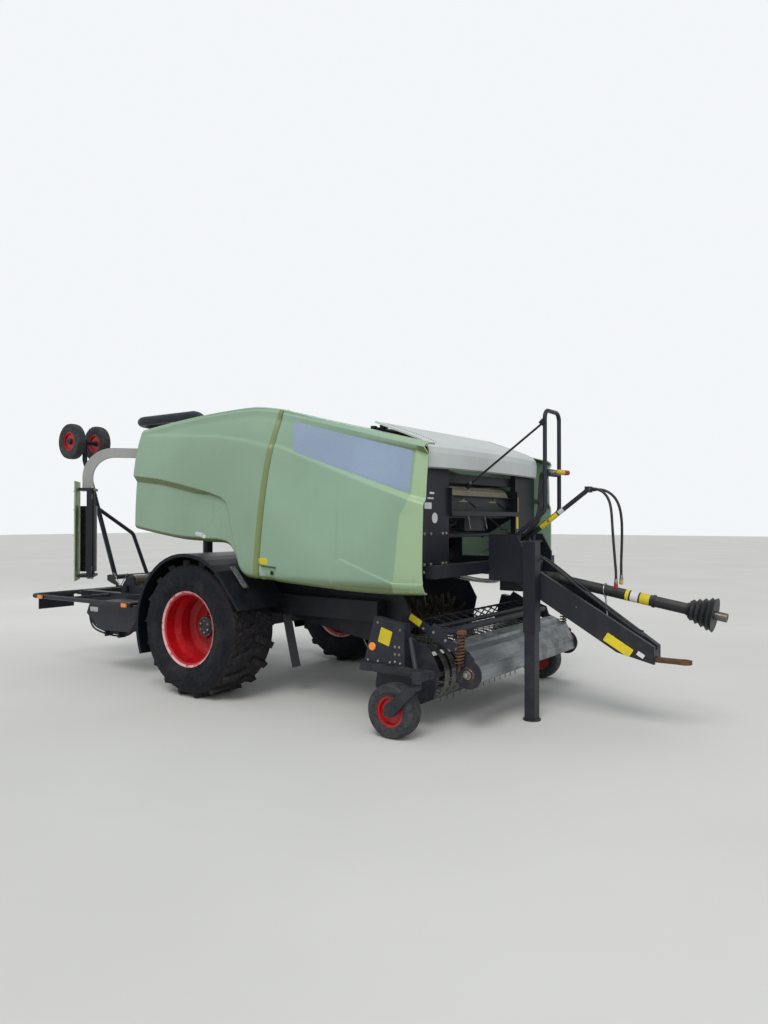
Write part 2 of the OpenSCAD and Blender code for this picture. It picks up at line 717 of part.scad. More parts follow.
side_y = pickup_half + 40;
side_t = 20;
housing_y = side_y + 80;
housing_t = 80;
band_r = 240;
band_t = 4;
rail_d = 24;
band_pitch = 114;
band_w = 72;
band_count = 2 * floor((pickup_half - band_w / 2) / band_pitch) + 1;
band_rail_z = band_r - band_t - rail_d / 2 - touch_gap;

module pickup_frame() {
    color(slate) {
        both_sides() {
            plate([[1150, 480], [1265, 890], [1510, 850], [1560, 850], [1560, 490]], housing_y, housing_y + housing_t);
            rod([1590, housing_y + housing_t / 2, 735], [1730, castor_y - 110, 480], 40);
            difference() {
                plate([[1175, 290], [1230, 690], [1390, 770], [1500, 770], [1560, 700],
                    [1700, 650], [1800, 470], [1740, 250], [1560, 160], [1300, 160]], side_y, side_y + side_t);
                cross_bar(reel_x, reel_z, reel_shaft + pin_fit, pickup_half, pickup_half + 100);
                cross_bar(guard_pivot.x, guard_pivot.y, guard_pin + pin_fit, pickup_half, pickup_half + 100);
            }
            for (bar = [[1330, 640], [1500, 600]])
                cross_bar(bar.x, bar.y, 60, side_y + side_t + touch_gap, housing_y - touch_gap);
            castor_beam();
            difference() {
                plate([[900, 690], [930, 610], [1160, 290], [1250, 280], [1265, 370], [1080, 740], [1040, 790],
                    [940, 790]], lift_arm_y, lift_arm_y + lift_arm_t);
                cross_bar(feed_x, feed_z, lift_boss + pin_fit, 0, 1000);
            }
        }
        cross_bar(main_tube.x, main_tube.y, 70, -side_y + touch_gap, side_y - touch_gap);
        for (s = [-1, 1])
            cross_bar(band_rail_x, reel_z + s * band_rail_z, rail_d, -side_y + touch_gap, side_y - touch_gap);
    }
}

// Beam that carries a castor beside the pick-up's side housing
module castor_beam() difference() {
    union() {
        block([1150, housing_y + housing_t + touch_gap, 450], [1840, 1250, 510]);
        translate([castor_x, castor_y, castor_low]) cylinder(d = 75, h = 100);
        block([castor_x - 30, 1249, 450], [castor_x + 30, castor_y, 510]);
    }
    translate([castor_x, castor_y, 0]) cylinder(d = castor_pin + pin_fit, h = 1000);
}

module pickup_bands() {
    // Outline of a band: in from the rear, round the reel and back out below
    outer = concat([[band_rail_x - reel_x - 10, band_r]], arc(0, 0, band_r, 90, -90, 18),
        [[band_rail_x - reel_x - 10, -band_r]]);
    inner = concat([[band_rail_x - reel_x - 10, -band_r + band_t]], arc(0, 0, band_r - band_t, -90, 90, 18),
        [[band_rail_x - reel_x - 10, band_r - band_t]]);
    color(zinc) for (k = [0 : band_count - 1])
        translate([reel_x, (k - (band_count - 1) / 2) * band_pitch + band_w / 2, reel_z]) rotate([90, 0, 0])
            linear_extrude(height = band_w) polygon(concat(outer, inner));
}

module pickup_reel() {
    color(zinc) translate([reel_x, 0, reel_z]) rotate([90, 0, 0]) {
        cylinder(d = reel_shaft, h = 2 * (side_y + side_t) + 4, center = true);
        for (s = [0 : 3]) rotate([0, 0, s * 90]) {
            translate([165, 0, 0]) cylinder(d = 34, h = 2 * pickup_half - 40, center = true);
            for (k = [1 : band_count - 1])
                translate([165, 0, (k - band_count / 2) * band_pitch])
                    rotate([0, 90, 0]) cylinder(d = 8, h = tine_r - 165);
        }
        for (z = [-pickup_half + 20, 0, pickup_half - 30]) translate([0, 0, z]) cylinder(r = 175, h = 10);
    }
}

gauge_x = castor_x - 205;
fork_out = castor_y + gauge_w / 2 + 12;
gauge_pin = 36;
gauge_rim_r = 118;

module castor_fork() {
    low = castor_low - 40;
    color(slate) {
        translate([castor_x, castor_y, low]) cylinder(d = 75, h = 34);
        translate([castor_x, castor_y, low]) cylinder(d = castor_pin, h = 155);
        block([castor_x - 20, castor_y, low], [castor_x + 40, fork_out + 14, low + 30]);
        plate([[castor_x - 20, low + 30], [castor_x + 40, low + 30], [castor_x + 40, low - 5],
            [gauge_x + 50, gauge_r - 30], [gauge_x - 30, gauge_r - 30], [gauge_x - 30, gauge_r + 45]],
            fork_out, fork_out + 14);
        cross_bar(gauge_x, gauge_r, gauge_pin, castor_y - 40, fork_out + 1);
    }
}
module castor_fork_right() mirror([0, 1, 0]) castor_fork();
module castor_fork_left() castor_fork();

module gauge_wheel() {
    translate([gauge_x, castor_y, gauge_r]) rotate([90, 0, 0]) {
        color(black) rotate_extrude() polygon(tyre_section(gauge_r, gauge_w, gauge_rim_r));
        color(wheel_red) difference() {
            union() {
                cylinder(r = gauge_rim_r, h = gauge_w * 0.7, center = true);
                cylinder(d = 70, h = gauge_w, center = true);
            }
            cylinder(d = gauge_pin + pin_fit, h = gauge_w + 10, center = true);
            for (s = [-1, 1]) translate([0, 0, s * gauge_w * 0.35])
                difference() {
                    cylinder(r = 104, h = 60, center = true);
                    cylinder(d = 70, h = 100, center = true);
                }
        }
    }
}
module gauge_wheel_right() mirror([0, 1, 0]) gauge_wheel();
module gauge_wheel_left() gauge_wheel();

windguard_half = pickup_half;
end_disc = [2035, 470];

// Sheet from an open X-Z line, t thick below the line
function sheet(line, t) = concat(line, [for (i = [len(line) - 1 : -1 : 0]) [line[i].x - t * 0.4, line[i].y - t]]);

module windguard_sheet() {
    color(zinc) plate(sheet([[1885, 722], [1965, 692], [1975, 668], [2046, 647], [2100, 545],
        [2112, 535], [2128, 420]], 5), -windguard_half, windguard_half);
}

module windguard_arms() {
    arm_in = windguard_half + 2;
    arm_out = arm_in + 12;
    seat = arm_in - touch_gap;
    color(slate) {
        both_sides() {
            plate([[guard_pivot.x - 40, guard_pivot.y - 30], [guard_pivot.x - 40, 880], [1460, 941], [1690, 819],
                [1720, 850], [1790, 822], [1825, 810], [1850, 734], [2010, 649], [end_disc.x + 50, 600],
                [end_disc.x + 50, end_disc.y], [end_disc.x - 70, end_disc.y], [1950, 602], [1540, 819],
                [guard_pivot.x + 40, 780], [guard_pivot.x + 40, guard_pivot.y - 30]], arm_in, arm_out);
            cross_bar(end_disc.x, end_disc.y, 230, arm_in, arm_out);
            cross_bar(end_disc.x, end_disc.y, 90, arm_out - 1, arm_out + 20);
            cross_bar(guard_pivot.x, guard_pivot.y, guard_pin, arm_out - 1, side_y + side_t - 2);
        }
        for (tube = [[1800, 780, 55], [1745, 820, 40], [1920, 686.5, 30], [2057, 584, 30]])
            cross_bar(tube.x, tube.y, tube[2], -seat, seat);
        for (k = [-6 : 6])
            translate([0, k * 140, 0])
                bent_pipe([[1745, 0, 826], [1620, 0, 870], [1380, 0, 820], [1300, 0, 720]], 12, 60);
    }
}

// Covers and hood

// Distance of the covers' outside from the machine's middle, for a height
side_curve = [[1090, 1220], [1140, 1290], [1300, 1320], [1800, 1310], [2200, 1270], [2500, 1200], [2760, 1090]];

// One row of a cover's points at a station: top and bottom as [x, z], inset, and inner edge
function cover_row(top, bottom, tuck, edge_y, t) = let (
    drop = top.y - bottom.y,
    side = [for (k = [0 : 9]) let (f = k / 9, z = top.y - 70 - (drop - 110) * f)
        [top.x + (bottom.x - top.x) * (top.y - z) / drop, lookup(z, side_curve) - tuck - t, z]],
    shoulder_y = lookup(top.y - 70, side_curve) - tuck - t)
    concat([[top.x, edge_y, top.y - t]],
        [[top.x, edge_y + (shoulder_y - edge_y) * 0.6, top.y - t - 6]],
        [[top.x, shoulder_y - 14, top.y - 30 - t * 0.5]],
        side,
        [[bottom.x, side[9].y - 22, bottom.y + 8]], [[bottom.x, side[9].y - 60, bottom.y + t * 0.5]]);

// Columns: x at the top, height of the top edge, x at the bottom, height of the bottom edge, inset
front_stations = [
    [200, front_top(200), 48, 1146, 0], [520, front_top(520), 420, 1122, 0],
    [840, front_top(840), 780, 1100, 0], [1160, front_top(1160), 1130, 1086, 0],
    [1480, front_top(1480), 1460, 1082, 0], [1690, front_top(1690), 1680, 1086, 0],
    [1780, front_top(1780), 1765, 1092, 50]];
rear_stations = [
    [-1780, 2640, -1750, 1590, 0], [-1450, 2680, -1420, 1540, 0], [-1050, 2720, -1030, 1492, 0],
    [-650, 2745, -650, 1474, 0], [-250, 2755, -330, 1438, 0], [0, 2730, -140, 1180, 0], [186, 2695, 34, 1150, 0]];

module cover(stations, edge_y) {
    skin([for (s = stations) cover_row([s[0], s[1]], [s[2], s[3]], s[4], edge_y, 0)],
        [for (s = stations) cover_row([s[0], s[1]], [s[2], s[3]], s[4], edge_y, cover_t)]);
}

module knuckle() difference() {
    union() {
        hinge_barrel(knuckle_d, -40, 40);
        block([-40, 0, -knuckle_d / 2], [40, 24, -knuckle_d / 2 + 12]);
    }
    hinge_barrel(hinge_pin_d + pin_fit, -60, 60);
}

module cover_front() color(pale_green) {
    cover(front_stations, front_cover_y);
    for (x = front_knuckles) on_front_hinge(x) knuckle();
}
module cover_rear() color(pale_green) {
    cover(rear_stations, rear_cover_y);
    for (x = rear_knuckles) on_rear_hinge(x) knuckle();
}
module cover_front_right() mirror([0, 1, 0]) cover_front();
module cover_front_left() cover_front();
module cover_rear_right() mirror([0, 1, 0]) cover_rear();
module cover_rear_left() cover_rear();

hood_line = [[1170, 2520], [1300, 2478], [1500, 2413], [1660, 2358], [1740, 2322], [1780, 2278], [1788, 2230],
    [1780, 2115]];
hood_bow = 85;
hood_t = 12;

// One row of the hood's points at a distance from the machine's middle, drop below the outside
function hood_row(y, drop) = [for (p = hood_line)
    let (run = (p.x - hood_line[0].x) / (beam_x - hood_line[0].x))
    [p.x - hood_bow * run * pow(y / hood_half, 4) - drop * 0.7, y, p.y - drop]];

module hood() {
    rows = [for (f = [1, 0.92, 0.8, 0.6, 0.3, 0, -0.3, -0.6, -0.8, -0.92, -1]) f * hood_half];
    color([0.80, 0.83, 0.82]) {
        skin([for (y = rows) hood_row(y, 0)], [for (y = rows) hood_row(y, hood_t)]);
        both_sides() difference() {
            union() {
                cross_bar(hood_pivot.x, hood_pivot.y, knuckle_d, 855, 895);
                block([hood_pivot.x, 855, hood_pivot.y - 8], [hood_pivot.x + 60, 895, hood_pivot.y + 8]);
            }
            cross_bar(hood_pivot.x, hood_pivot.y, hinge_pin_d + pin_fit, 840, 900);
        }
    }
}

// Tailgate

tail_edge = chamber_x - 8;

module tailgate_shell() {
    outline = concat([[tail_edge, chamber_z + chamber_r]], arc(chamber_x, chamber_z, chamber_r, 92, 268, 22),
        [[tail_edge, chamber_z - chamber_r]]);
    hollow = concat([[chamber_x + 50, chamber_z + chamber_r - shell_t]],
        arc(chamber_x, chamber_z, chamber_r - shell_t, 92, 268, 22), [[chamber_x + 50, chamber_z - chamber_r + shell_t]]);
    color(anthracite) {
        difference() {
            plate(outline, -chamber_half, chamber_half);
            plate(hollow, -chamber_half + wall_t, chamber_half - wall_t);
        }
        both_sides() difference() {
            plate([[tail_edge - 300, chamber_z + 600], [tail_edge - 60, chamber_z + 560], [pivot_x + 50, pivot_z - 45],
                [pivot_x + 50, pivot_z + 45], [pivot_x - 50, pivot_z + 45], [tail_edge - 300, chamber_z + 740]],
                hinge_y - 22, hinge_y);
            cross_bar(pivot_x, pivot_z, pivot_pin + pin_fit, hinge_y - 40, hinge_y + 20);
        }
        both_sides() plate([[tail_edge - 300, chamber_z + 600], [tail_edge - 60, chamber_z + 560],
            [tail_edge - 40, chamber_z + 700], [tail_edge - 300, chamber_z + 740]], chamber_half - 1, hinge_y - 20);
    }
}

module tailgate_rollers() {
    color(steel) for (a = [106, 130, 154, 178, 202, 226, 250]) chamber_roller(a);
}

// Wrapping rotor

arm_bend = 300;
stretcher_top = 2060;
stretcher_low = 1010;
rest_turn = 48;

module each_arm() translate([rotor_x, 0, 0]) for (s = [0, 180]) rotate([0, 0, 180 + rest_turn + s]) children();

module wrap_arms() {
    color(arm_grey) difference() {
        union() {
            translate([rotor_x, 0, arm_z - arm_w / 2]) cylinder(d = 280, h = arm_w + 30);
            each_arm() {
                block([100, -arm_w / 2, arm_z - arm_w / 2], [film_pitch_r - arm_bend, arm_w / 2, arm_z + arm_w / 2]);
                translate([film_pitch_r - arm_bend, 0, arm_z - arm_bend]) rotate([90, 0, 0])
                    rotate_extrude(angle = 90) translate([arm_bend - arm_w / 2, -arm_w / 2]) square(arm_w);
                block([film_pitch_r - arm_w / 2, -arm_w / 2, stretcher_top],
                    [film_pitch_r + arm_w / 2, arm_w / 2, arm_z - arm_bend]);
            }
        }
        translate([rotor_x, 0, arm_z - 100]) cylinder(d = rotor_pin + pin_fit, h = 200);
    }
}

module stretcher_frames() {
    color(anthracite) each_arm() {
        block([film_pitch_r - 90, -180, stretcher_top - 30], [film_pitch_r + 90, 180, stretcher_top]);
        block([film_pitch_r - 90, -180, stretcher_low], [film_pitch_r + 90, 180, stretcher_low + 30]);
        block([film_pitch_r - 70, 146, stretcher_low + 29], [film_pitch_r - 10, 178, stretcher_top - 29]);
        for (y = [50, 115])
            translate([film_pitch_r - 60, y, stretcher_low + 29])
                cylinder(d = 55, h = stretcher_top - stretcher_low - 58);
    }
}

module film_rolls() {
    color(black) each_arm()
        translate([film_pitch_r, -70, stretcher_low + 60]) cylinder(d = film_d, h = 780);
    color(steel) each_arm()
        translate([film_pitch_r, -70, stretcher_low + 30]) cylinder(d = 40, h = stretcher_top - stretcher_low - 60);
}

module stretcher_covers() {
    color(pale_green) each_arm()
        block([film_pitch_r + 112, -190, stretcher_low - 40], [film_pitch_r + 126, 190, stretcher_top + 80]);
    color(anthracite) each_arm() for (z = [stretcher_top - 25, stretcher_low + 5])
        block([film_pitch_r + 90, -60, z], [film_pitch_r + 112, 60, z + 20]);
}

// Wrapping table

table_rolls = [rotor_x - 340, rotor_x + 340];

module table_frame() {
    color(slate) {
        both_sides() difference() {
            plate([[-2930, 790], [-2930, 910], [-2850, 1000], [-2740, 1000], [-2700, 900], [-2200, 900],
                [-2160, 1000], [-2060, 1000], [-2040, 850], [-2100, 840], [-2790, 790]],
                table_half - 30, table_half);
            cross_bar(table_pivot.x, table_pivot.y, table_pin + pin_fit, 0, rail_y);
        }
        for (x = [-2600, -2280]) block([x - 30, -table_half + 29, 825], [x + 30, table_half - 29, 865]);
    }
}

module table_rollers() {
    color(steel) for (x = table_rolls)
        cross_bar(x, table_z, 160, -table_half + 30 + touch_gap, table_half - 30 - touch_gap);
}

tipper_axle_z = 2680;
tipper_axle_x = -3900;
tipper_wheel_r = 225;
tipper_wheel_pin = 30;

module tipper_frame() {
    color(slate) difference() {
        union() {
            cross_bar(tipper_pivot.x, tipper_pivot.y, 64, tipper_ears.x + 16, tipper_ears.y - 16);
            bent_pipe([[tipper_pivot.x, -30, tipper_pivot.y], [-3870, -350, 2190], [tipper_axle_x, -420, 2450],
                [tipper_axle_x, -420, tipper_axle_z + 40]], 60, 150);
            bent_pipe([[tipper_pivot.x, 480, tipper_pivot.y], [-3800, 250, 1500], [-3850, -250, 1830]], 50, 120);
            cross_bar(tipper_axle_x, tipper_axle_z, 46, -534, -306);
            cross_bar(tipper_axle_x, tipper_axle_z, tipper_wheel_pin, -650, -190);
        }
        cross_bar(tipper_pivot.x, tipper_pivot.y, tipper_pin + pin_fit, -1000, 1000);
    }
}

module tipper_wheel(y) translate([tipper_axle_x, y, tipper_axle_z]) rotate([90, 0, 0]) {
    color(black) rotate_extrude() polygon(tyre_section(tipper_wheel_r, 120, 120));
    color(wheel_red) difference() {
        union() {
            cylinder(r = 120, h = 84, center = true);
            cylinder(d = 70, h = 116, center = true);
        }
        cylinder(d = tipper_wheel_pin + pin_fit, h = 200, center = true);
        for (s = [-1, 1]) translate([0, 0, s * 42])
            difference() {
                cylinder(r = 104, h = 44, center = true);
                cylinder(d = 70, h = 100, center = true);
            }
    }
}
module tipper_wheel_right() tipper_wheel(-600);
module tipper_wheel_left() tipper_wheel(-240);

// Middle of the machine's length, from the tipper's wheels to the drive shaft's end
machine_middle = (pto_end.x + 80 + tipper_axle_x - tipper_wheel_r) / 2;
module centred() translate([-machine_middle, 0, 0]) children();

centred() chassis_frame();
centred() axle_beam();
centred() chamber_wall_right();
centred() chamber_wall_left();
centred() chamber_rollers();
centred() feed_rotor();
centred() feed_pan();
centred() front_frame();
centred() front_posts();
centred() net_roll();
centred() net_frame();
centred() top_frame();
centred() drawbar_head();
centred() drawbar();
centred() hitch_eye();
centred() gearbox();
centred() pto_shaft();
centred() pto_yoke();
centred() jack_tube();
centred() jack_leg();
centred() hose_hoop();
centred() hose_right();
centred() hose_left();
centred() hose_plugs();
centred() mudguards();
centred() wrap_frame();
centred() gantry();
centred() bumper();
centred() lamp_board();
centred() side_boxes();
centred() marker_lamps();
centred() tyre_right();
centred() rim_right();
centred() tyre_left();
centred() rim_left();
centred() pickup_frame();
centred() pickup_bands();
centred() castor_fork_right();
centred() castor_fork_left();
centred() gauge_wheel_right();
centred() gauge_wheel_left();
centred() pickup_reel();
centred() windguard_sheet();
centred() windguard_arms();
centred() hood();
centred() cover_front_right();
centred() cover_front_left();
centred() cover_rear_right();
centred() cover_rear_left();
centred() tailgate_shell();
centred() tailgate_rollers();
centred() wrap_arms();
centred() stretcher_frames();
centred() film_rolls();
centred() stretcher_covers();
centred() table_frame();
centred() table_rollers();
centred() tipper_frame();
centred() tipper_wheel_right();
centred() tipper_wheel_left();
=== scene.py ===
# Looks of a towed round baler with a bale wrapper behind it.
import math

import bmesh
import bpy
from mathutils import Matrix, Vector
from mathutils.bvhtree import BVHTree


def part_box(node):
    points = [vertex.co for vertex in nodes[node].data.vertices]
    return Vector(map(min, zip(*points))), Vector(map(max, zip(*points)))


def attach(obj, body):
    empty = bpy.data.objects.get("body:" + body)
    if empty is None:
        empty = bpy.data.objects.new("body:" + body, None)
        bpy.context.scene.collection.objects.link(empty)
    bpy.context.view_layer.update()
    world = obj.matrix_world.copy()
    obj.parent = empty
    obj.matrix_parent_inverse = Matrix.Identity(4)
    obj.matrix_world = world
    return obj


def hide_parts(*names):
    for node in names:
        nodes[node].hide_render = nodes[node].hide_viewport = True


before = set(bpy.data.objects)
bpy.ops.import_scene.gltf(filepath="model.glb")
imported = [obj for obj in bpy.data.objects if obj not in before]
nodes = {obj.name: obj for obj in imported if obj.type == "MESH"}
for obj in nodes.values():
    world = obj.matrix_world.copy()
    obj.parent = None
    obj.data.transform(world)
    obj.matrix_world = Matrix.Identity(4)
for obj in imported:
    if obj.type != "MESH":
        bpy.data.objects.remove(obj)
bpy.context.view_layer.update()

SHIFT = 0.1975      # from the part source's own frame to the row frame, along X
SIDES = (("right", -1), ("left", 1))
AHEAD, ACROSS, UP = Vector((1, 0, 0)), Vector((0, 1, 0)), Vector((0, 0, 1))


def P(x, y, z):
    """Point given in the part source's frame, in metres."""
    return Vector((x + SHIFT, y, z))


def new_object(name, data):
    o = bpy.data.objects.new(name, data)
    bpy.context.scene.collection.objects.link(o)
    return o


def look_along(o, direction):
    """Turns a camera or lamp, which looks along its own -Z."""
    o.rotation_mode = "QUATERNION"
    o.rotation_quaternion = direction.to_track_quat("-Z", "Y")


def clamp(x):
    return min(1.0, max(0.0, x))


# ---- Camera and light

PHOTO_HEIGHT, FOCAL, HORIZON = 1024.0, 770.0, 8.0   # in the photograph's pixels
SENSOR = 36.0


def make_camera():
    cam = new_object("camera", bpy.data.cameras.new("camera"))
    cam.data.sensor_width = SENSOR
    cam.data.lens = FOCAL / PHOTO_HEIGHT * SENSOR
    cam.data.clip_start, cam.data.clip_end = 0.1, 300.0
    turn, tip = math.radians(35.0), math.atan(HORIZON / FOCAL)
    cam.location = P(4.96, -6.34, 1.683)
    look_along(cam, Vector((-math.sin(turn) * math.cos(tip), math.cos(turn) * math.cos(tip), math.sin(tip))))
    bpy.context.scene.camera = cam


def make_light():
    """A soft sky, a sun and two lamps. The camera sees a paler sky than the one that lights the machine."""
    scene = bpy.context.scene
    scene.view_settings.view_transform = "Standard"
    scene.world = bpy.data.worlds.new("sky")
    scene.world.use_nodes = True
    sky = Tree(scene.world.node_tree)
    path = sky.add("ShaderNodeLightPath").outputs
    lights, seen = (sky.add("ShaderNodeBackground", {"Color": Vector(rgba), "Strength": k}).outputs[0]
                    for rgba, k in (((0.93, 0.97, 1.0, 1), 0.62), ((0.9, 0.92, 0.94, 1), 1.0)))
    which = sky.math("MAXIMUM", path["Is Camera Ray"], path["Is Transmission Ray"])
    mix = sky.add("ShaderNodeMixShader", {0: which, 1: lights, 2: seen})
    sky.add("ShaderNodeOutputWorld", {"Surface": mix.outputs[0]})

    def lamp(name, kind, energy, where, aim, **more):
        data = bpy.data.lights.new(name, kind)
        data.energy = energy
        for key, value in more.items():
            setattr(data, key, value)
        o = new_object(name, data)
        o.location = where
        look_along(o, Vector(aim) - Vector(where))

    lamp("key", "SUN", 1.35, (2, -6, 9), (0, 0, 1), angle=math.radians(28), color=(1.0, 0.98, 0.95))
    lamp("fill", "AREA", 160, (9, -7, 4.5), (1.5, 0, 1.2), size=6.0, color=(0.95, 0.98, 1.0))
    lamp("back", "AREA", 150, (-8, 7, 6), (-1, 0, 1.2), size=6.0, color=(0.96, 0.98, 1.0))


# ---- Materials. Colours are sRGB, 0 to 255.

def lin(rgb):
    """An sRGB colour as a linear one with alpha."""
    def one(c):
        c = clamp(c / 255.0)
        return c / 12.92 if c <= 0.04045 else ((c + 0.055) / 1.055) ** 2.4
    return tuple(one(c) for c in rgb) + (1.0,)


def shade(rgb, k, plus=0):
    """A colour made lighter or darker."""
    return [c * k + plus for c in rgb]


class Tree:
    """A node tree, wired step by step."""

    def __init__(self, nt):
        self.nt = nt
        nt.nodes.clear()

    def add(self, kind, inputs={}, **props):
        """A new node, with values or links put on its inputs."""
        n = self.nt.nodes.new(kind)
        for key, value in props.items():
            setattr(n, key, value)
        for key, value in inputs.items():
            self.put(value, n.inputs[key])
        return n

    def put(self, value, socket):
        """Links a socket, or sets a number or a colour on it."""
        if isinstance(value, bpy.types.NodeSocket):
            self.nt.links.new(value, socket)
        else:
            socket.default_value = lin(value) if isinstance(value, (tuple, list)) else value

    def math(self, op, a, b=0.0):
        return self.add("ShaderNodeMath", {0: a, 1: b}, operation=op).outputs[0]

    def times(self, a, *more):
        for b in more:
            a = self.math("MULTIPLY", a, b)
        return a


class Shader(Tree):
    """One procedural material. Coordinates are the object's own, in metres."""

    def __init__(self, name, rough=0.5, metal=0.0, **sockets):
        self.mat = bpy.data.materials.new(name)
        self.mat.use_nodes = True
        super().__init__(self.mat.node_tree)
        sockets.update(Roughness=rough, Metallic=metal)
        self.bsdf = self.add("ShaderNodeBsdfPrincipled", {k.replace("_", " "): v for k, v in sockets.items()})
        self.add("ShaderNodeOutputMaterial", {"Surface": self.bsdf.outputs[0]})
        self.coord = self.add("ShaderNodeTexCoord").outputs

    def noise(self, scale, detail=3.0, rough=0.5, stretch=None):
        """Noise, on coordinates that may be multiplied along each axis first."""
        where = self.coord["Object"]
        if stretch:
            where = self.add("ShaderNodeMapping", {"Vector": where, "Scale": Vector(stretch)}).outputs[0]
        return self.add("ShaderNodeTexNoise", {"Vector": where, "Scale": scale, "Detail": detail,
                                               "Roughness": rough}).outputs["Fac"]

    def grain(self, value):
        """A socket as it is; a tuple stands for noise."""
        return self.noise(*value) if isinstance(value, tuple) else value

    def cells(self, scale, what="Color"):
        where = self.coord["Object"]
        return self.add("ShaderNodeTexVoronoi", {"Vector": where, "Scale": scale}).outputs[what]

    def range(self, value, lo, hi, to_lo=0.0, to_hi=1.0):
        return self.add("ShaderNodeMapRange", {"Value": self.grain(value), "From Min": lo, "From Max": hi,
                        "To Min": to_lo, "To Max": to_hi}, interpolation_type="SMOOTHSTEP").outputs[0]

    def mix(self, fac, a, b):
        return self.add("ShaderNodeMix", {0: fac, 6: a, 7: b}, data_type="RGBA").outputs[2]

    def mottle(self, grain, lo, hi, a, b):
        """Colour a where the grain is under lo, b where it is over hi."""
        return self.mix(self.range(grain, lo, hi), a, b)

    def stain(self, base, grain, lo, hi, share, rgb):
        """Lays a share of a colour over the base where the grain is past lo, in full past hi."""
        return self.mix(self.range(grain, lo, hi, 0.0, share), base, rgb)

    def axis(self, i, normal=False):
        return self.add("ShaderNodeSeparateXYZ", {0: self.coord["Normal" if normal else "Object"]}).outputs[i]

    def radius(self, x, z):
        """Distance from an axle along Y, at x and z."""
        a = self.math("SUBTRACT", self.axis(0), x)
        b = self.math("SUBTRACT", self.axis(2), z)
        return self.math("SQRT", self.math("ADD", self.times(a, a), self.times(b, b)))

    def colour(self, value):
        self.put(value, self.bsdf.inputs["Base Color"])
        return self

    def rough(self, *spread):
        """Roughness from what range() takes."""
        self.put(self.range(*spread), self.bsdf.inputs["Roughness"])
        return self

    def bump(self, height, strength, distance=0.002):
        """Adds a bump on top of those before it."""
        n = self.add("ShaderNodeBump", {"Height": self.grain(height), "Strength": strength,
                                        "Distance": distance})
        normal = self.bsdf.inputs["Normal"]
        if normal.is_linked:
            self.put(normal.links[0].from_socket, n.inputs["Normal"])
        self.put(n.outputs[0], normal)
        return self


DUST = (124, 114, 104)
MUD = (86, 74, 66)


def painted(name, rgb, rough=0.42, dust=0.5, mud=0.6, grime=(60, 58, 52), **sockets):
    """Sprayed steel: a little fading, dust on what faces up, splashes near the ground, and scuffs."""
    s = Shader(name, rough, **sockets)
    base = s.mottle((1.7, 4), 0.3, 0.7, rgb, shade(rgb, 0.88))
    base = s.stain(base, (1.0, 5, 0.6, (11, 11, 0.9)), 0.52, 0.78, 0.35, grime)
    up = s.range(s.axis(2, True), 0.15, 0.95)
    fine = s.noise(26, 6, 0.65)
    settled = s.times(up, s.range((3.2, 5, 0.6), 0.35, 0.7), s.range(fine, 0.3, 0.75, 0.35, 1.0), dust)
    splash = s.times(s.range(s.axis(2), 1.25, 0.15), s.range((9, 6, 0.7), 0.42, 0.68), mud)
    s.colour(s.mix(splash, s.mix(settled, base, DUST), MUD))
    dirt = s.math("MAXIMUM", settled, splash)
    s.rough(s.math("ADD", dirt, s.times(fine, 0.25)), 0.05, 0.9, rough, 0.92)
    return s.bump((240, 2), 0.06, 0.001).bump(dirt, 0.12).mat


# The seam between the side covers leans: its x at a height, in the part source's frame
SEAM_X, SEAM_Z, SEAM_LEAN = 0.034, 1.15, 0.0984


def moulded(name, rgb, rough=0.34, shade_below=None, pale_top=0.2, corner=None, seam=None):
    """Weathered plastic panels: paler where they face up, faint runs of dirt, fine scratches, and painted
    light and shade.

    The colour for what faces down is painted shade, corner a painted light colour for the front corner's band
    where it faces ahead, and seam a painted shade colour for the edge that rolls in at the covers' seam.
    """
    s = Shader(name, rough, Coat_Weight=0.12, Coat_Roughness=0.25)
    base = s.mottle((0.9, 4), 0.3, 0.7, rgb, shade(rgb, 0.93))
    # Lighter where the surface faces up.
    base = s.mix(s.times(s.range(s.axis(2, True), 0.1, 0.9), 0.55), base, shade(rgb, 1 + pale_top * 0.55))
    # Painted shade: what faces down is darkened towards the given olive or grey colour.
    if shade_below:
        base = s.stain(base, s.axis(2, True), -0.12, -0.6, 0.9, shade_below)
    # Painted light: the front corner's chamfer, where it faces ahead, is made lighter and yellower.
    if corner:
        lit_corner = s.times(s.range(s.axis(0, True), 0.1, 0.2), s.range(s.axis(0), 1.55, 1.62))
        base = s.mix(s.times(lit_corner, 0.9), base, corner)
    # Painted shade: a darker olive band along the rear cover's edge where it rolls in at the seam.
    if seam:
        line = s.math("ADD", s.times(s.axis(2), SEAM_LEAN), SEAM_X - SEAM_Z * SEAM_LEAN + SHIFT)
        base = s.stain(base, s.math("SUBTRACT", line, s.axis(0)), 0.052, 0.04, 0.85, seam)
    base = s.stain(base, (1.0, 5, 0.62, (16, 16, 0.75)), 0.55, 0.85, 0.22, (96, 100, 84))
    specks = s.range((70, 4, 0.7), 0.63, 0.74, 0.0, 0.35)
    s.colour(s.mix(s.times(specks, s.range((2.4, 3), 0.42, 0.66)), base, (88, 84, 70)))
    s.rough((34, 5, 0.6), 0.25, 0.8, rough - 0.06, rough + 0.2)
    return s.bump((2.2, 2), 0.1, 0.004).bump((520, 1), 0.035, 0.0006).mat


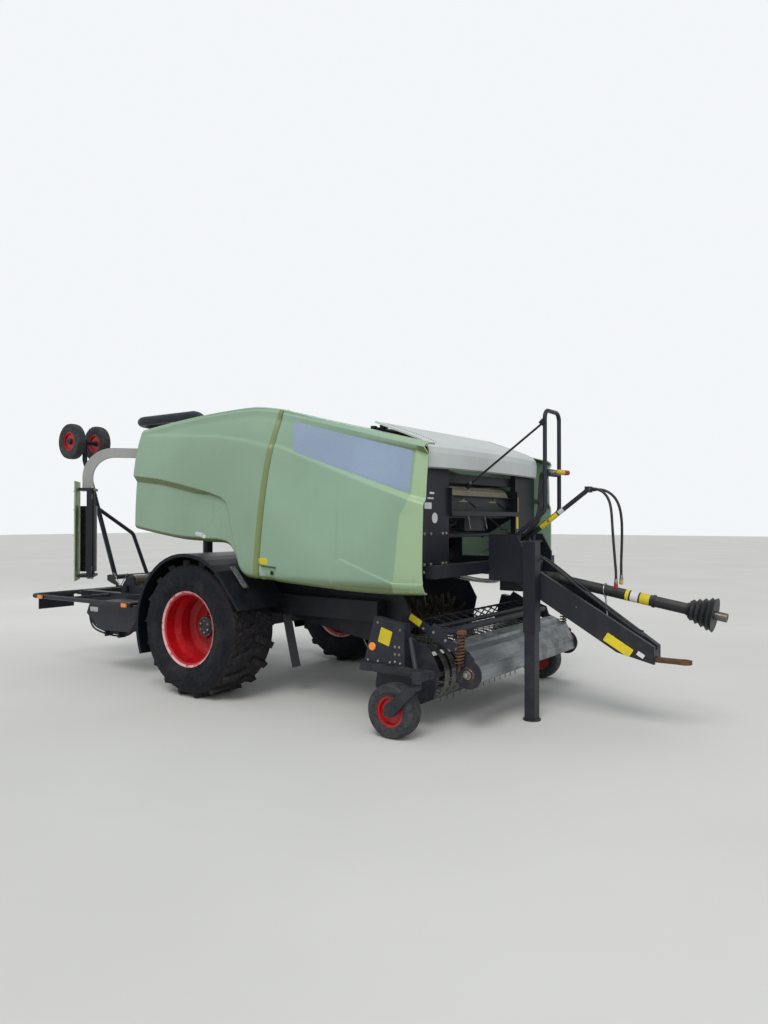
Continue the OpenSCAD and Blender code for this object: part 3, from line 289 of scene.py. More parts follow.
def tyre_rubber(name, x, z, r):
    """Farm tyre rubber: ribbed side wall, chalky scuffs, dry earth in the tread."""
    s = Shader(name, 0.78, Specular_IOR_Level=0.2)
    far = s.radius(x, z)
    base = s.mottle((14, 5, 0.65), 0.35, 0.7, (16, 18, 26), (27, 28, 35))
    tread = s.range(far, r * 0.86, r * 0.97)
    scuff = s.range((30, 6, 0.7), 0.4, 0.7)
    base = s.mix(s.times(tread, s.range(scuff, 0, 1, 0.1, 0.55)), base, (78, 70, 66))
    side = s.times(s.range(far, r * 0.93, r * 0.62), s.range((5, 4), 0.42, 0.7))
    s.colour(s.mix(s.times(side, 0.14), base, (98, 92, 86)))
    rings = s.math("SINE", s.times(far, 2 * math.pi / (r * 0.042)))
    s.bump(s.times(s.range(rings, -0.2, 0.9), s.range(far, r * 0.8, r * 0.74)), 0.25, 0.003)
    s.bump((60, 5, 0.6), 0.18)
    return s.rough(scuff, 0, 1, 0.62, 0.92).mat


def zinc(name, rgb=(122, 122, 120), rough=0.46, wear=0.4):
    """Galvanised sheet: dull spangle, polished streaks along X, rust freckles."""
    s = Shader(name, rough, metal=0.85)
    base = s.mottle(s.cells(60), 0.1, 0.9, shade(rgb, 0.86), shade(rgb, 1.14))
    streak = s.noise(1.0, 5, 0.6, (3, 70, 3))
    base = s.stain(base, streak, 0.45, 0.75, 0.45, (84, 82, 80))
    rust = s.times(s.range((17, 7, 0.7), 0.56, 0.72), wear)
    s.colour(s.mix(rust, base, (112, 78, 56)))
    s.rough(s.math("ADD", rust, s.times(streak, 0.4)), 0.1, 0.9, rough - 0.08, 0.85)
    return s.bump(streak, 0.1, 0.001).mat


def bare_steel(name, rgb=(128, 124, 118), rough=0.36, rust_share=0.45):
    """Steel polished by crop, with rust where nothing rubs it."""
    s = Shader(name, rough, metal=0.9)
    base = s.mottle((1.0, 4, 0.6, (120, 1.2, 120)), 0.3, 0.7, rgb, shade(rgb, 0.78))
    rust = s.times(s.range((6.5, 7, 0.68), 0.47, 0.66), rust_share)
    s.colour(s.mix(rust, base, (110, 70, 45)))
    s.rough(rust, 0, 0.5, rough, 0.9)
    return s.bump((90, 4), 0.12, 0.001).mat


def rusty(name, rgb=(112, 76, 54)):
    s = Shader(name, 0.85, metal=0.25)
    base = s.mottle((28, 7, 0.7), 0.3, 0.7, rgb, (70, 50, 40))
    s.colour(s.stain(base, (9, 5), 0.5, 0.72, 0.7, (140, 98, 66)))
    return s.bump((140, 6, 0.7), 0.35, 0.0015).mat


def wound_film(name):
    """Stretch film on its roll: glossy, with faint wound edges and creases."""
    s = Shader(name, 0.2, Coat_Weight=0.35, Coat_Roughness=0.12)
    edge = s.noise(1.0, 3, 0.6, (2, 2, 190))
    s.colour(s.mottle(edge, 0.35, 0.7, (20, 21, 22), (38, 40, 42)))
    s.rough((8, 4), 0.3, 0.7, 0.14, 0.36)
    return s.bump(edge, 0.2, 0.001).bump((6, 4, 0.6, (1, 1, 5)), 0.2, 0.004).mat


def netting(name):
    """Rolled bale net: fine crossing threads."""
    s = Shader(name, 0.8)
    weave = s.math("MAXIMUM", s.math("SINE", s.times(s.axis(1), 900.0)),
                   s.math("SINE", s.times(s.math("ADD", s.axis(0), s.axis(2)), 700.0)))
    base = s.mottle(weave, 0.2, 0.95, (120, 112, 92), (190, 182, 158))
    s.colour(s.stain(base, (5, 4), 0.45, 0.7, 0.4, (120, 108, 86)))
    return s.bump(weave, 0.3, 0.001).mat


def lens(name, rgb):
    """Reflector or lamp lens with fine prisms."""
    s = Shader(name, 0.18, Coat_Weight=0.6, Coat_Roughness=0.08)
    prism = s.times(*(s.math("SINE", s.times(s.axis(i), 1300.0)) for i in (0, 2)))
    return s.colour(s.mottle(prism, -0.8, 0.8, rgb, shade(rgb, 1.25, 12))).bump(prism, 0.25, 0.001).mat


def plastic(name, rgb, rough=0.6, dusty=0.35, grain=300, **sockets):
    """Injection-moulded plastic with a fine grain and settled dust."""
    s = Shader(name, rough, **sockets)
    base = s.mottle((4, 4), 0.3, 0.7, rgb, shade(rgb, 0.85))
    settled = s.times(s.range(s.axis(2, True), 0.2, 0.95), s.range((5, 6, 0.65), 0.35, 0.7), dusty)
    s.colour(s.mix(settled, base, DUST)).rough(settled, 0, 0.5, rough, 0.9)
    return s.bump((grain, 2), 0.15, 0.0008).mat


def hose_rubber(name):
    """Hose rubber with the faint wrap marks of its making."""
    s = Shader(name, 0.5)
    wrap = s.math("SINE", s.times(s.math("ADD", s.axis(2), s.times(s.axis(0), 0.6)), 900.0))
    base = s.mottle((30, 5), 0.35, 0.7, (20, 21, 24), (40, 40, 42))
    s.colour(s.stain(base, (7, 5, 0.65), 0.5, 0.75, 0.4, (92, 86, 78)))
    return s.rough((12, 4), 0.3, 0.7, 0.4, 0.66).bump(wrap, 0.12, 0.0008).mat


def reflective(name):
    """Silver reflector sheet: fine cells, scuffed at places."""
    s = Shader(name, 0.3, metal=0.35)
    cell = s.cells(210, "Distance")
    base = s.mottle(cell, 0.1, 0.55, (196, 202, 204), (112, 118, 120))
    worn = s.range((34, 6, 0.7), 0.47, 0.6)
    s.colour(s.mix(worn, base, (52, 56, 62))).rough(worn, 0, 1, 0.25, 0.7)
    return s.bump(cell, 0.3, 0.0008).mat


def wheel_paint(name, x, z, hub, rim):
    """Red wheel: glossy paint, a painted highlight along the flange, stains from the hub, and the dark hub
    itself.
    """
    s = Shader(name, 0.3, Coat_Weight=0.25, Coat_Roughness=0.12)
    far = s.radius(x, z)
    base = s.mottle((3.0, 4), 0.3, 0.7, (178, 10, 20), (156, 8, 18))
    base = s.stain(base, (9, 6, 0.66), 0.52, 0.74, 0.45, (96, 26, 24))
    stain = s.times(s.range(far, hub + 0.12, hub - 0.03), s.range((11, 5), 0.4, 0.65), 0.5)
    base = s.mix(stain, base, (70, 44, 40))
    # Painted highlight: a thin pale pinkish line just inside the flange's edge, broken by noise.
    flange_highlight = s.times(s.range(far, rim - 0.006, rim - 0.002), s.range((20, 5, 0.7), 0.36, 0.5), 0.75)
    base = s.mix(flange_highlight, base, (226, 190, 190))
    metal = s.mottle((30, 5), 0.35, 0.7, (40, 42, 48), (70, 64, 60))
    s.colour(s.mix(s.math("LESS_THAN", far, 0.098), base, metal))
    s.rough((16, 5), 0.3, 0.75, 0.24, 0.5)
    return s.bump((180, 2), 0.05, 0.001).mat


def small_wheel(name, x, z, rim=0.118, hub=0.045):
    """Small wheel of one node: rubber outside the rim, red paint inside it, dark hub."""
    s = Shader(name, 0.6)
    far = s.radius(x, z)
    rubber = s.mottle((22, 5, 0.65), 0.35, 0.7, (34, 36, 42), (58, 58, 60))
    rubber = s.stain(rubber, (60, 5, 0.7), 0.56, 0.7, 0.5, (120, 112, 104))
    red = s.mottle((14, 5), 0.3, 0.7, (196, 30, 32), (150, 22, 26))
    red = s.stain(red, (40, 6, 0.7), 0.55, 0.7, 0.6, (80, 50, 44))
    paint = s.math("LESS_THAN", far, rim + 0.001)
    s.colour(s.mix(s.math("LESS_THAN", far, hub), s.mix(paint, rubber, red), (46, 48, 54)))
    s.rough(paint, 0, 1, 0.78, 0.36)
    return s.bump((70, 5, 0.6), 0.14, 0.0015).mat


def stained_green(name):
    """Green sheet with runs of dirt and specks."""
    s = Shader(name, 0.4, Coat_Weight=0.1)
    base = s.mottle((1.3, 4), 0.3, 0.7, (160, 186, 122), (146, 172, 112))
    base = s.stain(base, (1.0, 5, 0.62, (16, 16, 0.75)), 0.55, 0.85, 0.35, (96, 104, 66))
    s.colour(s.stain(base, (50, 5, 0.7), 0.62, 0.72, 0.5, (84, 78, 60)))
    s.rough((34, 5, 0.6), 0.25, 0.8, 0.34, 0.6)
    return s.bump((240, 2), 0.06, 0.001).mat


def satin_zinc(name):
    """Coated steel steps: smooth satin grey with brushed streaks, scratches and a little dust."""
    s = Shader(name, 0.42, metal=0.75)
    streak = s.noise(1.0, 5, 0.62, (30, 1.3, 30))
    base = s.mottle(streak, 0.3, 0.72, (150, 155, 158), (118, 123, 127))
    fine = s.noise(1.0, 3, 0.7, (260, 6, 260))
    base = s.stain(base, fine, 0.6, 0.75, 0.5, (170, 172, 170))
    dusty = s.range((4.5, 6, 0.65), 0.46, 0.7, 0.0, 0.5)
    s.colour(s.mix(dusty, base, (120, 110, 98)))
    s.rough(s.math("ADD", dusty, s.times(streak, 0.3)), 0.05, 0.8, 0.34, 0.8)
    return s.bump(fine, 0.06, 0.0008).mat


# The wheels' axles: x in the row frame, and z
AXLE = (-0.75 + SHIFT, 0.65)
GAUGE = (1.595 + SHIFT, 0.21)
TIPPER = (-3.9 + SHIFT, 2.68)

M = {
    # The colours given for what faces down and for the seam are painted shade, on the covers and the hood;
    # the front covers' corner colour is painted light.
    "green": moulded("pale_green_front", (139, 168, 145), shade_below=(92, 106, 56), corner=(151, 176, 138)),
    "green_rear": moulded("pale_green_rear", (136, 163, 139), shade_below=(92, 104, 52), seam=(112, 126, 66)),
    "hood": moulded("pale_hood", (200, 205, 203), rough=0.38, shade_below=(110, 112, 110), pale_top=0.05),
    "dark": painted("anthracite_paint", (33, 35, 43), dust=0.3, mud=0.36, Specular_IOR_Level=0.3),
    "slate": painted("slate_paint", (37, 42, 52), dust=0.3, mud=0.4, Specular_IOR_Level=0.3),
    "arm": painted("light_grey_paint", (176, 178, 174), rough=0.4, dust=0.3, mud=0.2, grime=(120, 118, 108)),
    "black": plastic("black_mouldings", (24, 26, 30), rough=0.52, dusty=0.45),
    "tyre": tyre_rubber("main_tyre_rubber", *AXLE, 0.65),
    "zinc": zinc("galvanised_sheet"),
    "steel": bare_steel("worn_steel"),
    "rust": rusty("rusty_forging"),
    "film": wound_film("black_stretch_film"),
    "net": netting("rolled_net"),
    "amber": lens("amber_lens", (226, 112, 12)),
    "bolt": zinc("plated_bolts", (158, 156, 150), 0.36, 0.25),
    "rubber": plastic("soft_rubber", (22, 22, 24), 0.7, 0.3, 400),
    "hose": hose_rubber("ribbed_hose_rubber"),
    "cap_red": plastic("red_cap", (150, 24, 24), 0.45, 0.25),
    "cap_yellow": plastic("yellow_cap", (205, 176, 30), 0.45, 0.25),
    "white": painted("white_marks", (214, 216, 214), rough=0.5, dust=0.25, mud=0.25, grime=(120, 116, 104)),
    "yellow": painted("yellow_marks", (222, 200, 28), rough=0.45, dust=0.2, mud=0.25, grime=(120, 100, 40)),
    "orange": lens("orange_reflector", (232, 120, 18)),
    "silver": reflective("silver_reflector"),
    "lilac": moulded("lilac_panels", (145, 163, 187), rough=0.26, pale_top=0.06),
    "rim": wheel_paint("red_rim_paint", *AXLE, 0.19, 0.345),
    "gauge": small_wheel("gauge_wheel_finish", *GAUGE),
    "tipper": small_wheel("tipper_wheel_finish", *TIPPER),
    "sheet_green": stained_green("green_with_pale_edge"),
    "guard": plastic("mudguard_moulding", (13, 18, 27), rough=0.46, dusty=0.1, Specular_IOR_Level=0.25),
    "satin": satin_zinc("satin_steps"),
    "hub": painted("dark_hub_paint", (40, 42, 48), rough=0.5, dust=0.3, mud=0.5),
}

# The look of each CAD node that isn't dark; a star stands for right and left
NODE_LOOKS = {
    "green": "cover_front_* cover_rear_*",
    "hood": "hood",
    "arm": "wrap_arms",
    "black": "pto_shaft hose_*",
    "bolt": "hose_plugs",
    "guard": "mudguards",
    "gauge": "gauge_wheel_*",
    "tipper": "tipper_wheel_*",
    "sheet_green": "stretcher_covers",
    "satin": "windguard_sheet",
    "zinc": "pickup_bands pickup_reel",
    "steel": "chamber_rollers tailgate_rollers table_rollers feed_rotor feed_pan pto_yoke",
    "rust": "hitch_eye",
    "slate": "jack_leg hose_hoop top_frame gantry bumper side_boxes pickup_frame castor_fork_* "
             "windguard_arms table_frame tipper_frame",
    "tyre": "tyre_*",
    "film": "film_rolls",
    "net": "net_roll",
    "amber": "marker_lamps",
    "rim": "rim_*",
}


def dress(name, look):
    """Gives every material slot of a CAD node the same look."""
    slots = nodes[name].data.materials
    if not slots:
        slots.append(None)
    for i in range(len(slots)):
        slots[i] = M[look]


# ---- Mesh helpers

def mesh_piece(name, verts, faces, look, body, sharp=38, bevel=0.0):
    """A finished mesh that rides on a body."""
    me = bpy.data.meshes.new(name)
    me.from_pydata([tuple(v) for v in verts], [], faces)
    me.validate()
    bm = bmesh.new()
    bm.from_mesh(me)
    bmesh.ops.recalc_face_normals(bm, faces=bm.faces)
    bm.to_mesh(me)
    bm.free()
    me.materials.append(M[look])
    o = new_object(name, me)
    me.polygons.foreach_set("use_smooth", [True] * len(me.polygons))
    me.set_sharp_from_angle(angle=math.radians(sharp))
    if bevel:
        m = o.modifiers.new("bevel", "BEVEL")
        m.width, m.segments, m.limit_method, m.angle_limit = bevel, 2, "ANGLE", math.radians(40)
        m.harden_normals = True
    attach(o, body)
    return o


def quads(rows, n, closed):
    """Faces between rows of n points, each row a ring where it is closed."""
    return [(i * n + j, i * n + (j + 1) % n, (i + 1) * n + (j + 1) % n, (i + 1) * n + j)
            for i in range(rows - 1) for j in range(n if closed else n - 1)]


def sheet(name, grid, look, body, sharp):
    """A sheet through a grid of points."""
    faces = quads(len(grid), len(grid[0]), False)
    return mesh_piece(name, [v for row in grid for v in row], faces, look, body, sharp)


def circle(n, points=None):
    """The cosine and sine at each nth of a turn; n + 1 points close the ring."""
    return [(math.cos(2 * math.pi * k / n), math.sin(2 * math.pi * k / n)) for k in range(points or n)]


def lookup(x, table):
    """Straight-line interpolation in a table of pairs."""
    if x <= table[0][0]:
        return table[0][1]
    for (a, fa), (b, fb) in zip(table, table[1:]):
        if x <= b:
            return fa + (fb - fa) * (x - a) / (b - a)
    return table[-1][1]


def smooth_table(table, n):
    """A table of rows eased through its points by Catmull-Rom, n steps between rows."""
    out = []
    for i in range(len(table) - 1):
        near = table[max(i - 1, 0)], table[i], table[i + 1], table[min(i + 2, len(table) - 1)]
        for t in (k / n for k in range(n)):
            out.append(tuple(0.5 * (2 * b + (c - a) * t + (2 * a - 5 * b + 4 * c - d) * t * t
                                    + (3 * b - a - 3 * c + d) * t ** 3) for a, b, c, d in zip(*near)))
    return out + [tuple(table[-1])]


def ease(x):
    x = clamp(x)
    return x * x * (3 - 2 * x)


def beside(px, pz, line):
    """Signed distance from a polyline in X-Z, positive on its right-hand side, with the share along it."""
    best = (1e9, 0.0)
    total = sum(math.dist(a, b) for a, b in zip(line, line[1:]))
    run = 0.0
    for a, b in zip(line, line[1:]):
        vx, vz = b[0] - a[0], b[1] - a[1]
        length = math.hypot(vx, vz)
        c = clamp(((px - a[0]) * vx + (pz - a[1]) * vz) / (length * length))
        d = math.hypot(px - (a[0] + vx * c), pz - (a[1] + vz * c))
        if d < abs(best[0]):
            side = (px - a[0]) * vz - (pz - a[1]) * vx
            best = (d if side >= 0 else -d, (run + c * length) / total)
        run += length
    return best


class Bits:
    """Several small shapes made into one piece, each with its own look."""

    def __init__(self):
        self.verts, self.faces, self.marks, self.looks = [], [], [], []

    def add(self, verts, faces, look):
        base = len(self.verts)
        if look not in self.looks:
            self.looks.append(look)
        self.verts += [tuple(v) for v in verts]
        self.faces += [tuple(base + i for i in f) for f in faces]
        self.marks += [self.looks.index(look)] * len(faces)
        return self

    def loft(self, rings, look):
        """Skin over rings of equally many points, with flat ends."""
        n, count = len(rings[0]), len(rings)
        ends = [tuple(range(n))[::-1], tuple(range((count - 1) * n, count * n))]
        return self.add([v for ring in rings for v in ring], quads(count, n, True) + ends, look)

    def plate(self, outline, origin, u, v, thick, look):
        """An outline of (u, v) pairs made thick along u x v."""
        origin, u, v = Vector(origin), Vector(u).normalized(), Vector(v).normalized()
        w = u.cross(v).normalized() * thick
        ring = [origin + u * a + v * b for a, b in outline]
        return self.loft([ring, [p + w for p in ring]], look)

    def label(self, centre, u, v, width, height, look, thick=0.0012, corner=0.008):
        """A blank rounded sticker or small plate."""
        outline = []
        for cu, cv, turn in ((1, 1, 0), (-1, 1, 90), (-1, -1, 180), (1, -1, 270)):
            for k in range(4):
                a = math.radians(turn + k * 30)
                outline.append((cu * (width / 2 - corner) + corner * math.cos(a),
                                cv * (height / 2 - corner) + corner * math.sin(a)))
        return self.plate(outline, centre, u, v, thick, look)

    def box(self, low, high, look, chamfer=0.004):
        """A block in source coordinates with chamfered edges."""
        (x0, y0, z0), (x1, y1, z1) = low, high
        c = min(chamfer, (x1 - x0) / 3, (y1 - y0) / 3, (z1 - z0) / 3)

        def ring(z, d):
            a, b, e, f = x0 + d, x1 - d, y0 + d, y1 - d
            return [P(x, y, z) for x, y in ((a + c, e), (b - c, e), (b, e + c), (b, f - c),
                                            (b - c, f), (a + c, f), (a, f - c), (a, e + c))]
        return self.loft([ring(z0, c), ring(z0 + c, 0), ring(z1 - c, 0), ring(z1, c)], look)

    def turned(self, profile, base, axis, look, sides=24):
        """A turned shape: (radius, height) pairs about an axis from base."""
        turn = Vector(axis).normalized().to_track_quat("Z", "Y").to_matrix()
        rings = [[base + turn @ Vector((max(r, 0.0002) * c, max(r, 0.0002) * s, h)) for c, s in circle(sides)]
                 for r, h in profile]
        return self.loft(rings, look)

    def tube(self, line, d, look, sides=12, flat=1.0, smooth=0):
        """A bar or pipe along a line of source points; flat squeezes the section."""
        pts = [P(*p) for p in (smooth_table(line, smooth) if smooth else line)]
        rings, up = [], None
        for i, p in enumerate(pts):
            a, b = pts[max(i - 1, 0)], pts[min(i + 1, len(pts) - 1)]
            along = (b - a).normalized()
            if up is None:
                up = UP if abs(along.z) < 0.9 else AHEAD
            side = along.cross(up).normalized()
            up = side.cross(along).normalized()
            rings.append([p + side * (d / 2 * c) + up * (d / 2 * flat * s) for c, s in circle(sides)])
        return self.loft(rings, look)

    def bolt(self, at, axis, d=0.016):
        """A hexagon bolt head on its washer, at a source point."""
        for profile, sides in (([(1.05, 0), (1.05, 0.16)], 16),
                               ([(0.86, 0.16), (0.86, 0.62), (0.72, 0.74)], 6),
                               ([(0.42, 0.74), (0.42, 0.98), (0.3, 1.06)], 12)):
            self.turned([(d * r, d * h) for r, h in profile], P(*at), axis, "bolt", sides)
        return self

    def make(self, name, body="chassis", bevel=0.0):
        o = mesh_piece(name, self.verts, self.faces, self.looks[0], body, bevel=bevel)
        for look in self.looks[1:]:
            o.data.materials.append(M[look])
        if len(o.data.polygons) != len(self.marks):
            raise RuntimeError("faces were lost in " + name)
        o.data.polygons.foreach_set("material_index", self.marks)
        return o


make_camera()

# ---- Hoses that hang from the holder's clip, in the part source's own frame

HOSE_D = 0.022
ROUTES = {
    "hose_right": [
        (2.672, -0.06, 1.94), (2.722, -0.06, 1.94), (2.77, -0.063, 1.924), (2.81, -0.068, 1.89),
        (2.838, -0.074, 1.843), (2.854, -0.08, 1.79), (2.863, -0.086, 1.734), (2.869, -0.092, 1.678),
        (2.874, -0.097, 1.622), (2.879, -0.101, 1.566), (2.884, -0.104, 1.51), (2.889, -0.106, 1.454),
        (2.894, -0.108, 1.398), (2.899, -0.11, 1.342), (2.904, -0.11, 1.286), (2.906, -0.11, 1.24),
        (2.906, -0.11, 1.19)],
    "hose_left": [
        (2.672, -0.02, 1.94), (2.724, -0.02, 1.94), (2.776, -0.018, 1.932), (2.824, -0.013, 1.908),
        (2.862, -0.006, 1.87), (2.888, 0.002, 1.822), (2.902, 0.012, 1.768), (2.908, 0.022, 1.712),
        (2.909, 0.033, 1.656), (2.907, 0.043, 1.6), (2.904, 0.052, 1.544), (2.9, 0.06, 1.488),
        (2.896, 0.067, 1.432), (2.892, 0.073, 1.376), (2.889, 0.077, 1.32), (2.888, 0.08, 1.262),
        (2.888, 0.08, 1.21)],
}
CAPS = {"hose_right": "cap_red", "hose_left": "cap_yellow"}
SLEEVE = [(0.0115, 0.0), (0.017, 0.0), (0.017, 0.018), (0.0135, 0.045), (0.0115, 0.045)]
SLEEVE_RING = [(0.011, -0.004), (0.0185, -0.004), (0.0185, 0.004), (0.011, 0.004)]
PLUG = [(0.0, -0.012), (0.0125, -0.012), (0.014, -0.002), (0.014, 0.012), (0.0165, 0.014), (0.0165, 0.026),
        (0.014, 0.028), (0.014, 0.04)]
PLUG_CAP = [(0.014, 0.03), (0.0168, 0.032), (0.0168, 0.038), (0.0156, 0.041), (0.0168, 0.044),
            (0.0168, 0.06), (0.015, 0.066), (0.006, 0.068), (0.0, 0.068)]


def make_hose(name):
    route = [P(*p) for p in smooth_table(ROUTES[name], 4)]
    data = bpy.data.curves.new(name + "_line", "CURVE")
    data.dimensions = "3D"
    line = data.splines.new("POLY")
    line.points.add(len(route) - 1)
    for point, at in zip(line.points, route):
        point.co = (*at, 1.0)
    data.bevel_depth = HOSE_D / 2
    data.bevel_resolution = 5
    data.materials.append(M["hose"])
    hose = new_object(name + "_rubber", data)
    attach(hose, "chassis")
    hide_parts(name)

    start, end = route[0], route[-1]
    sleeve = Bits().turned(SLEEVE, start, route[1] - start, "rubber", 20)
    sleeve = sleeve.turned(SLEEVE_RING, start, route[1] - start, "bolt", 20).make(name + "_sleeve")
    down = Vector((0, 0, -1))
    plug = Bits().turned(PLUG, end, down, "bolt", 20).turned(PLUG_CAP, end, down, CAPS[name], 20)
    plug = plug.make(name + "_plug")
    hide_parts("hose_plugs")


for route_name in ROUTES:
    make_hose(route_name)

make_light()

FLOOR = 80
floor = new_object("floor", bpy.data.meshes.new("floor"))
floor.data.from_pydata([(-FLOOR, -FLOOR, 0), (FLOOR, -FLOOR, 0), (FLOOR, FLOOR, 0), (-FLOOR, FLOOR, 0)], [],
                       [(0, 1, 2, 3)])
ground = Shader("pale_floor", 0.9)
ground.colour(ground.mottle((0.35, 5), 0.3, 0.7, (206, 205, 202), (212, 211, 208)))
floor.data.materials.append(ground.mat)

for name in nodes:
    dress(name, "dark")
for look, names in NODE_LOOKS.items():
    for name in names.split():
        for side, _ in SIDES if "*" in name else SIDES[:1]:
            dress(name.replace("*", side), look)

# ---- Covers. Their side curve gives y at a height; stations give a top point and a low point, (x, z) each.

SIDE_CURVE = smooth_table([(1.09, 1.22), (1.14, 1.29), (1.3, 1.32), (1.8, 1.31), (2.2, 1.27), (2.5, 1.2),
                           (2.76, 1.09)], 6)
COVER_T, COVER_STEPS, COVER_ROWS = 0.014, 30, 130

FRONT = [(x, 2.69 - (x - 0.2) * 0.2487, low_x, low_z) for x, low_x, low_z in (
    (0.2, 0.048, 1.146), (0.52, 0.42, 1.122), (0.84, 0.78, 1.1), (1.16, 1.13, 1.086), (1.48, 1.46, 1.082),
    (1.69, 1.68, 1.086), (1.78, 1.765, 1.092))]
REAR = [(-1.78, 2.64, -1.75, 1.59), (-1.45, 2.68, -1.42, 1.54), (-1.05, 2.72, -1.03, 1.492),
        (-0.65, 2.745, -0.65, 1.474), (-0.25, 2.755, -0.33, 1.438), (0.0, 2.73, -0.14, 1.18),
        (0.186, 2.695, 0.034, 1.15)]

REAR_CREASE = [(-1.85, 2.565), (-1.25, 2.52), (-0.62, 2.47), (-0.25, 2.41), (0.2, 2.31)]
REAR_GROOVE = [(-1.9, 2.165), (-1.74, 2.14), (-1.37, 2.1), (-0.99, 2.03), (-0.62, 1.95), (-0.44, 1.895),
               (-0.37, 1.85), (-0.33, 1.77), (-0.31, 1.7), (-0.23, 1.43), (-0.16, 1.2)]
FRONT_LEDGE = [(0.02, 2.395), (0.3, 2.31), (0.8, 2.13), (1.3, 1.955), (1.62, 1.845), (1.76, 1.8)]
FRONT_PAD = [(0.86, 1.02), (0.86, 1.1), (0.94, 1.33), (1.0, 1.365), (1.52, 1.185), (1.8, 1.185)]

# The front corner's chamfer from its crease to the cover's front edge, and the seam's edge, as (z, x) pairs
BAND_EDGE = [(1.05, 1.48), (1.1, 1.49), (1.29, 1.54), (1.72, 1.585), (1.79, 1.635), (1.87, 1.67), (2.32, 1.7)]
FRONT_EDGE = [(1.09, 1.765), (2.3, 1.78)]
SEAM_EDGE = [(1.146, 0.048), (2.69, 0.2)]
HANDLE = (0.17, 1.215)      # the recessed handle's middle, (x, z)


def rear_relief(x, z):
    """How far the rear cover's outside lies inside its plain form."""
    d, _ = beside(x, z, REAR_CREASE)
    deep = 0.012 * ease(-d / 0.045)
    d, share = beside(x, z, REAR_GROOVE)
    width = 0.06 - 0.046 * ease((share - 0.45) / 0.2)
    deep += (0.052 - 0.038 * ease((share - 0.5) / 0.3)) * clamp(d / width)
    seam = abs(x - REAR[-1][0] - (z - REAR[-1][1]) * 0.0985)
    return deep + 0.03 * (1 - clamp(seam / 0.045)) ** 1.6


def front_relief(x, z):
    """How far the front cover's outside lies inside its plain form."""
    d, share = beside(x, z, FRONT_LEDGE)
    deep = (0.008 + 0.03 * share) * ease(-d / (0.022 + 0.036 * share))
    d, _ = beside(x, z, FRONT_PAD)
    deep -= 0.009 * clamp(d / 0.01)
    far = x - lookup(z, BAND_EDGE)
    if far > 0:
        deep += 0.05 * far / (lookup(z, FRONT_EDGE) - lookup(z, BAND_EDGE))
    deep += 0.016 * (1 - clamp((x - lookup(z, SEAM_EDGE)) / 0.022)) ** 2
    a = x - HANDLE[0]
    b = (z - HANDLE[1]) + 0.1 * a
    inside = min(0.105 - abs(a) - 0.35 * max(0.0, 0.03 - b), 0.062 - abs(b))
    return deep + 0.03 * clamp(inside / 0.018)


def cover_grid(stations, edge_y, relief):
    """Grid of points of a left-hand cover's outside, station by station from its top edge down."""
    grid = []
    for top_x, top_z, low_x, low_z in smooth_table(stations, COVER_STEPS):
        drop = top_z - low_z
        shoulder = lookup(top_z - 0.07, SIDE_CURVE)
        crown = [(edge_y, top_z), (edge_y + (shoulder - edge_y) * 0.45, top_z - 0.002),
                 (edge_y + (shoulder - edge_y) * 0.72, top_z - 0.01), (shoulder - 0.022, top_z - 0.026),
                 (shoulder - 0.008, top_z - 0.044)]
        row = [(top_x, y, z) for y, z in crown]
        for k in range(COVER_ROWS + 1):
            z = top_z - 0.07 - (drop - 0.11) * k / COVER_ROWS
            x = top_x + (low_x - top_x) * (top_z - z) / drop
            row.append((x, lookup(z, SIDE_CURVE) - relief(x, z) * min(1.0, (top_z - 0.05 - z) / 0.05), z))
        last = row[-1][1]
        row += [(low_x, last - dy, low_z + dz)
                for dy, dz in ((0.006, 0.026), (0.016, 0.014), (0.03, 0.006), (0.058, 0.0))]
        grid.append(row)
    return grid


def make_cover(which, side, sign, stations, edge_y, relief, look):
    name = "cover_%s_%s" % (which, side)
    grid = [[P(x, sign * y, z) for x, y, z in row] for row in cover_grid(stations, edge_y, relief)]
    o = sheet(name + "_skin", grid, look, name + "_body", 24)
    thick = o.modifiers.new("thickness", "SOLIDIFY")
    thick.thickness, thick.offset, thick.use_even_offset = COVER_T, -1.0, False
    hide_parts(name)


for side, sign in SIDES:
    make_cover("front", side, sign, FRONT, 1.09, front_relief, "green")
    make_cover("rear", side, sign, REAR, 1.04, rear_relief, "green_rear")


# ---- Panels, labels and handles on the covers

def on_cover(relief, sign, x, z, out=0.0):
    """A point on a cover's outside, in the row frame."""
    return P(x, sign * (lookup(z, SIDE_CURVE) - relief(x, z) + out), z)


def cover_panel(name, corners, radius, relief, sign, look, body, out=0.0015, n=8):
    """A thin panel that follows a cover: four (x, z) corners from the top left round, with rounded ends."""
    top_l, top_r, _, low_l = corners
    tall = math.dist(top_l, low_l)
    grid = []
    for u in (i / n for i in range(n + 1)):
        near = min(u, 1 - u) * math.dist(top_l, top_r)
        trim = radius - math.sqrt(max(0.0, radius ** 2 - max(0.0, radius - near) ** 2))
        row = []
        for k in range(n // 2 + 1):
            v = (trim + k / (n // 2) * (tall - 2 * trim)) / tall
            x, z = ((a * (1 - u) + b * u) * (1 - v) + (d * (1 - u) + c * u) * v
                    for a, b, c, d in zip(*corners))
            edge = min(u, 1 - u, v, 1 - v)
            row.append(on_cover(relief, sign, x, z, out * min(1.0, 0.25 + edge * 30)))
        grid.append(row)
    return sheet(name, grid, look, body, 60)


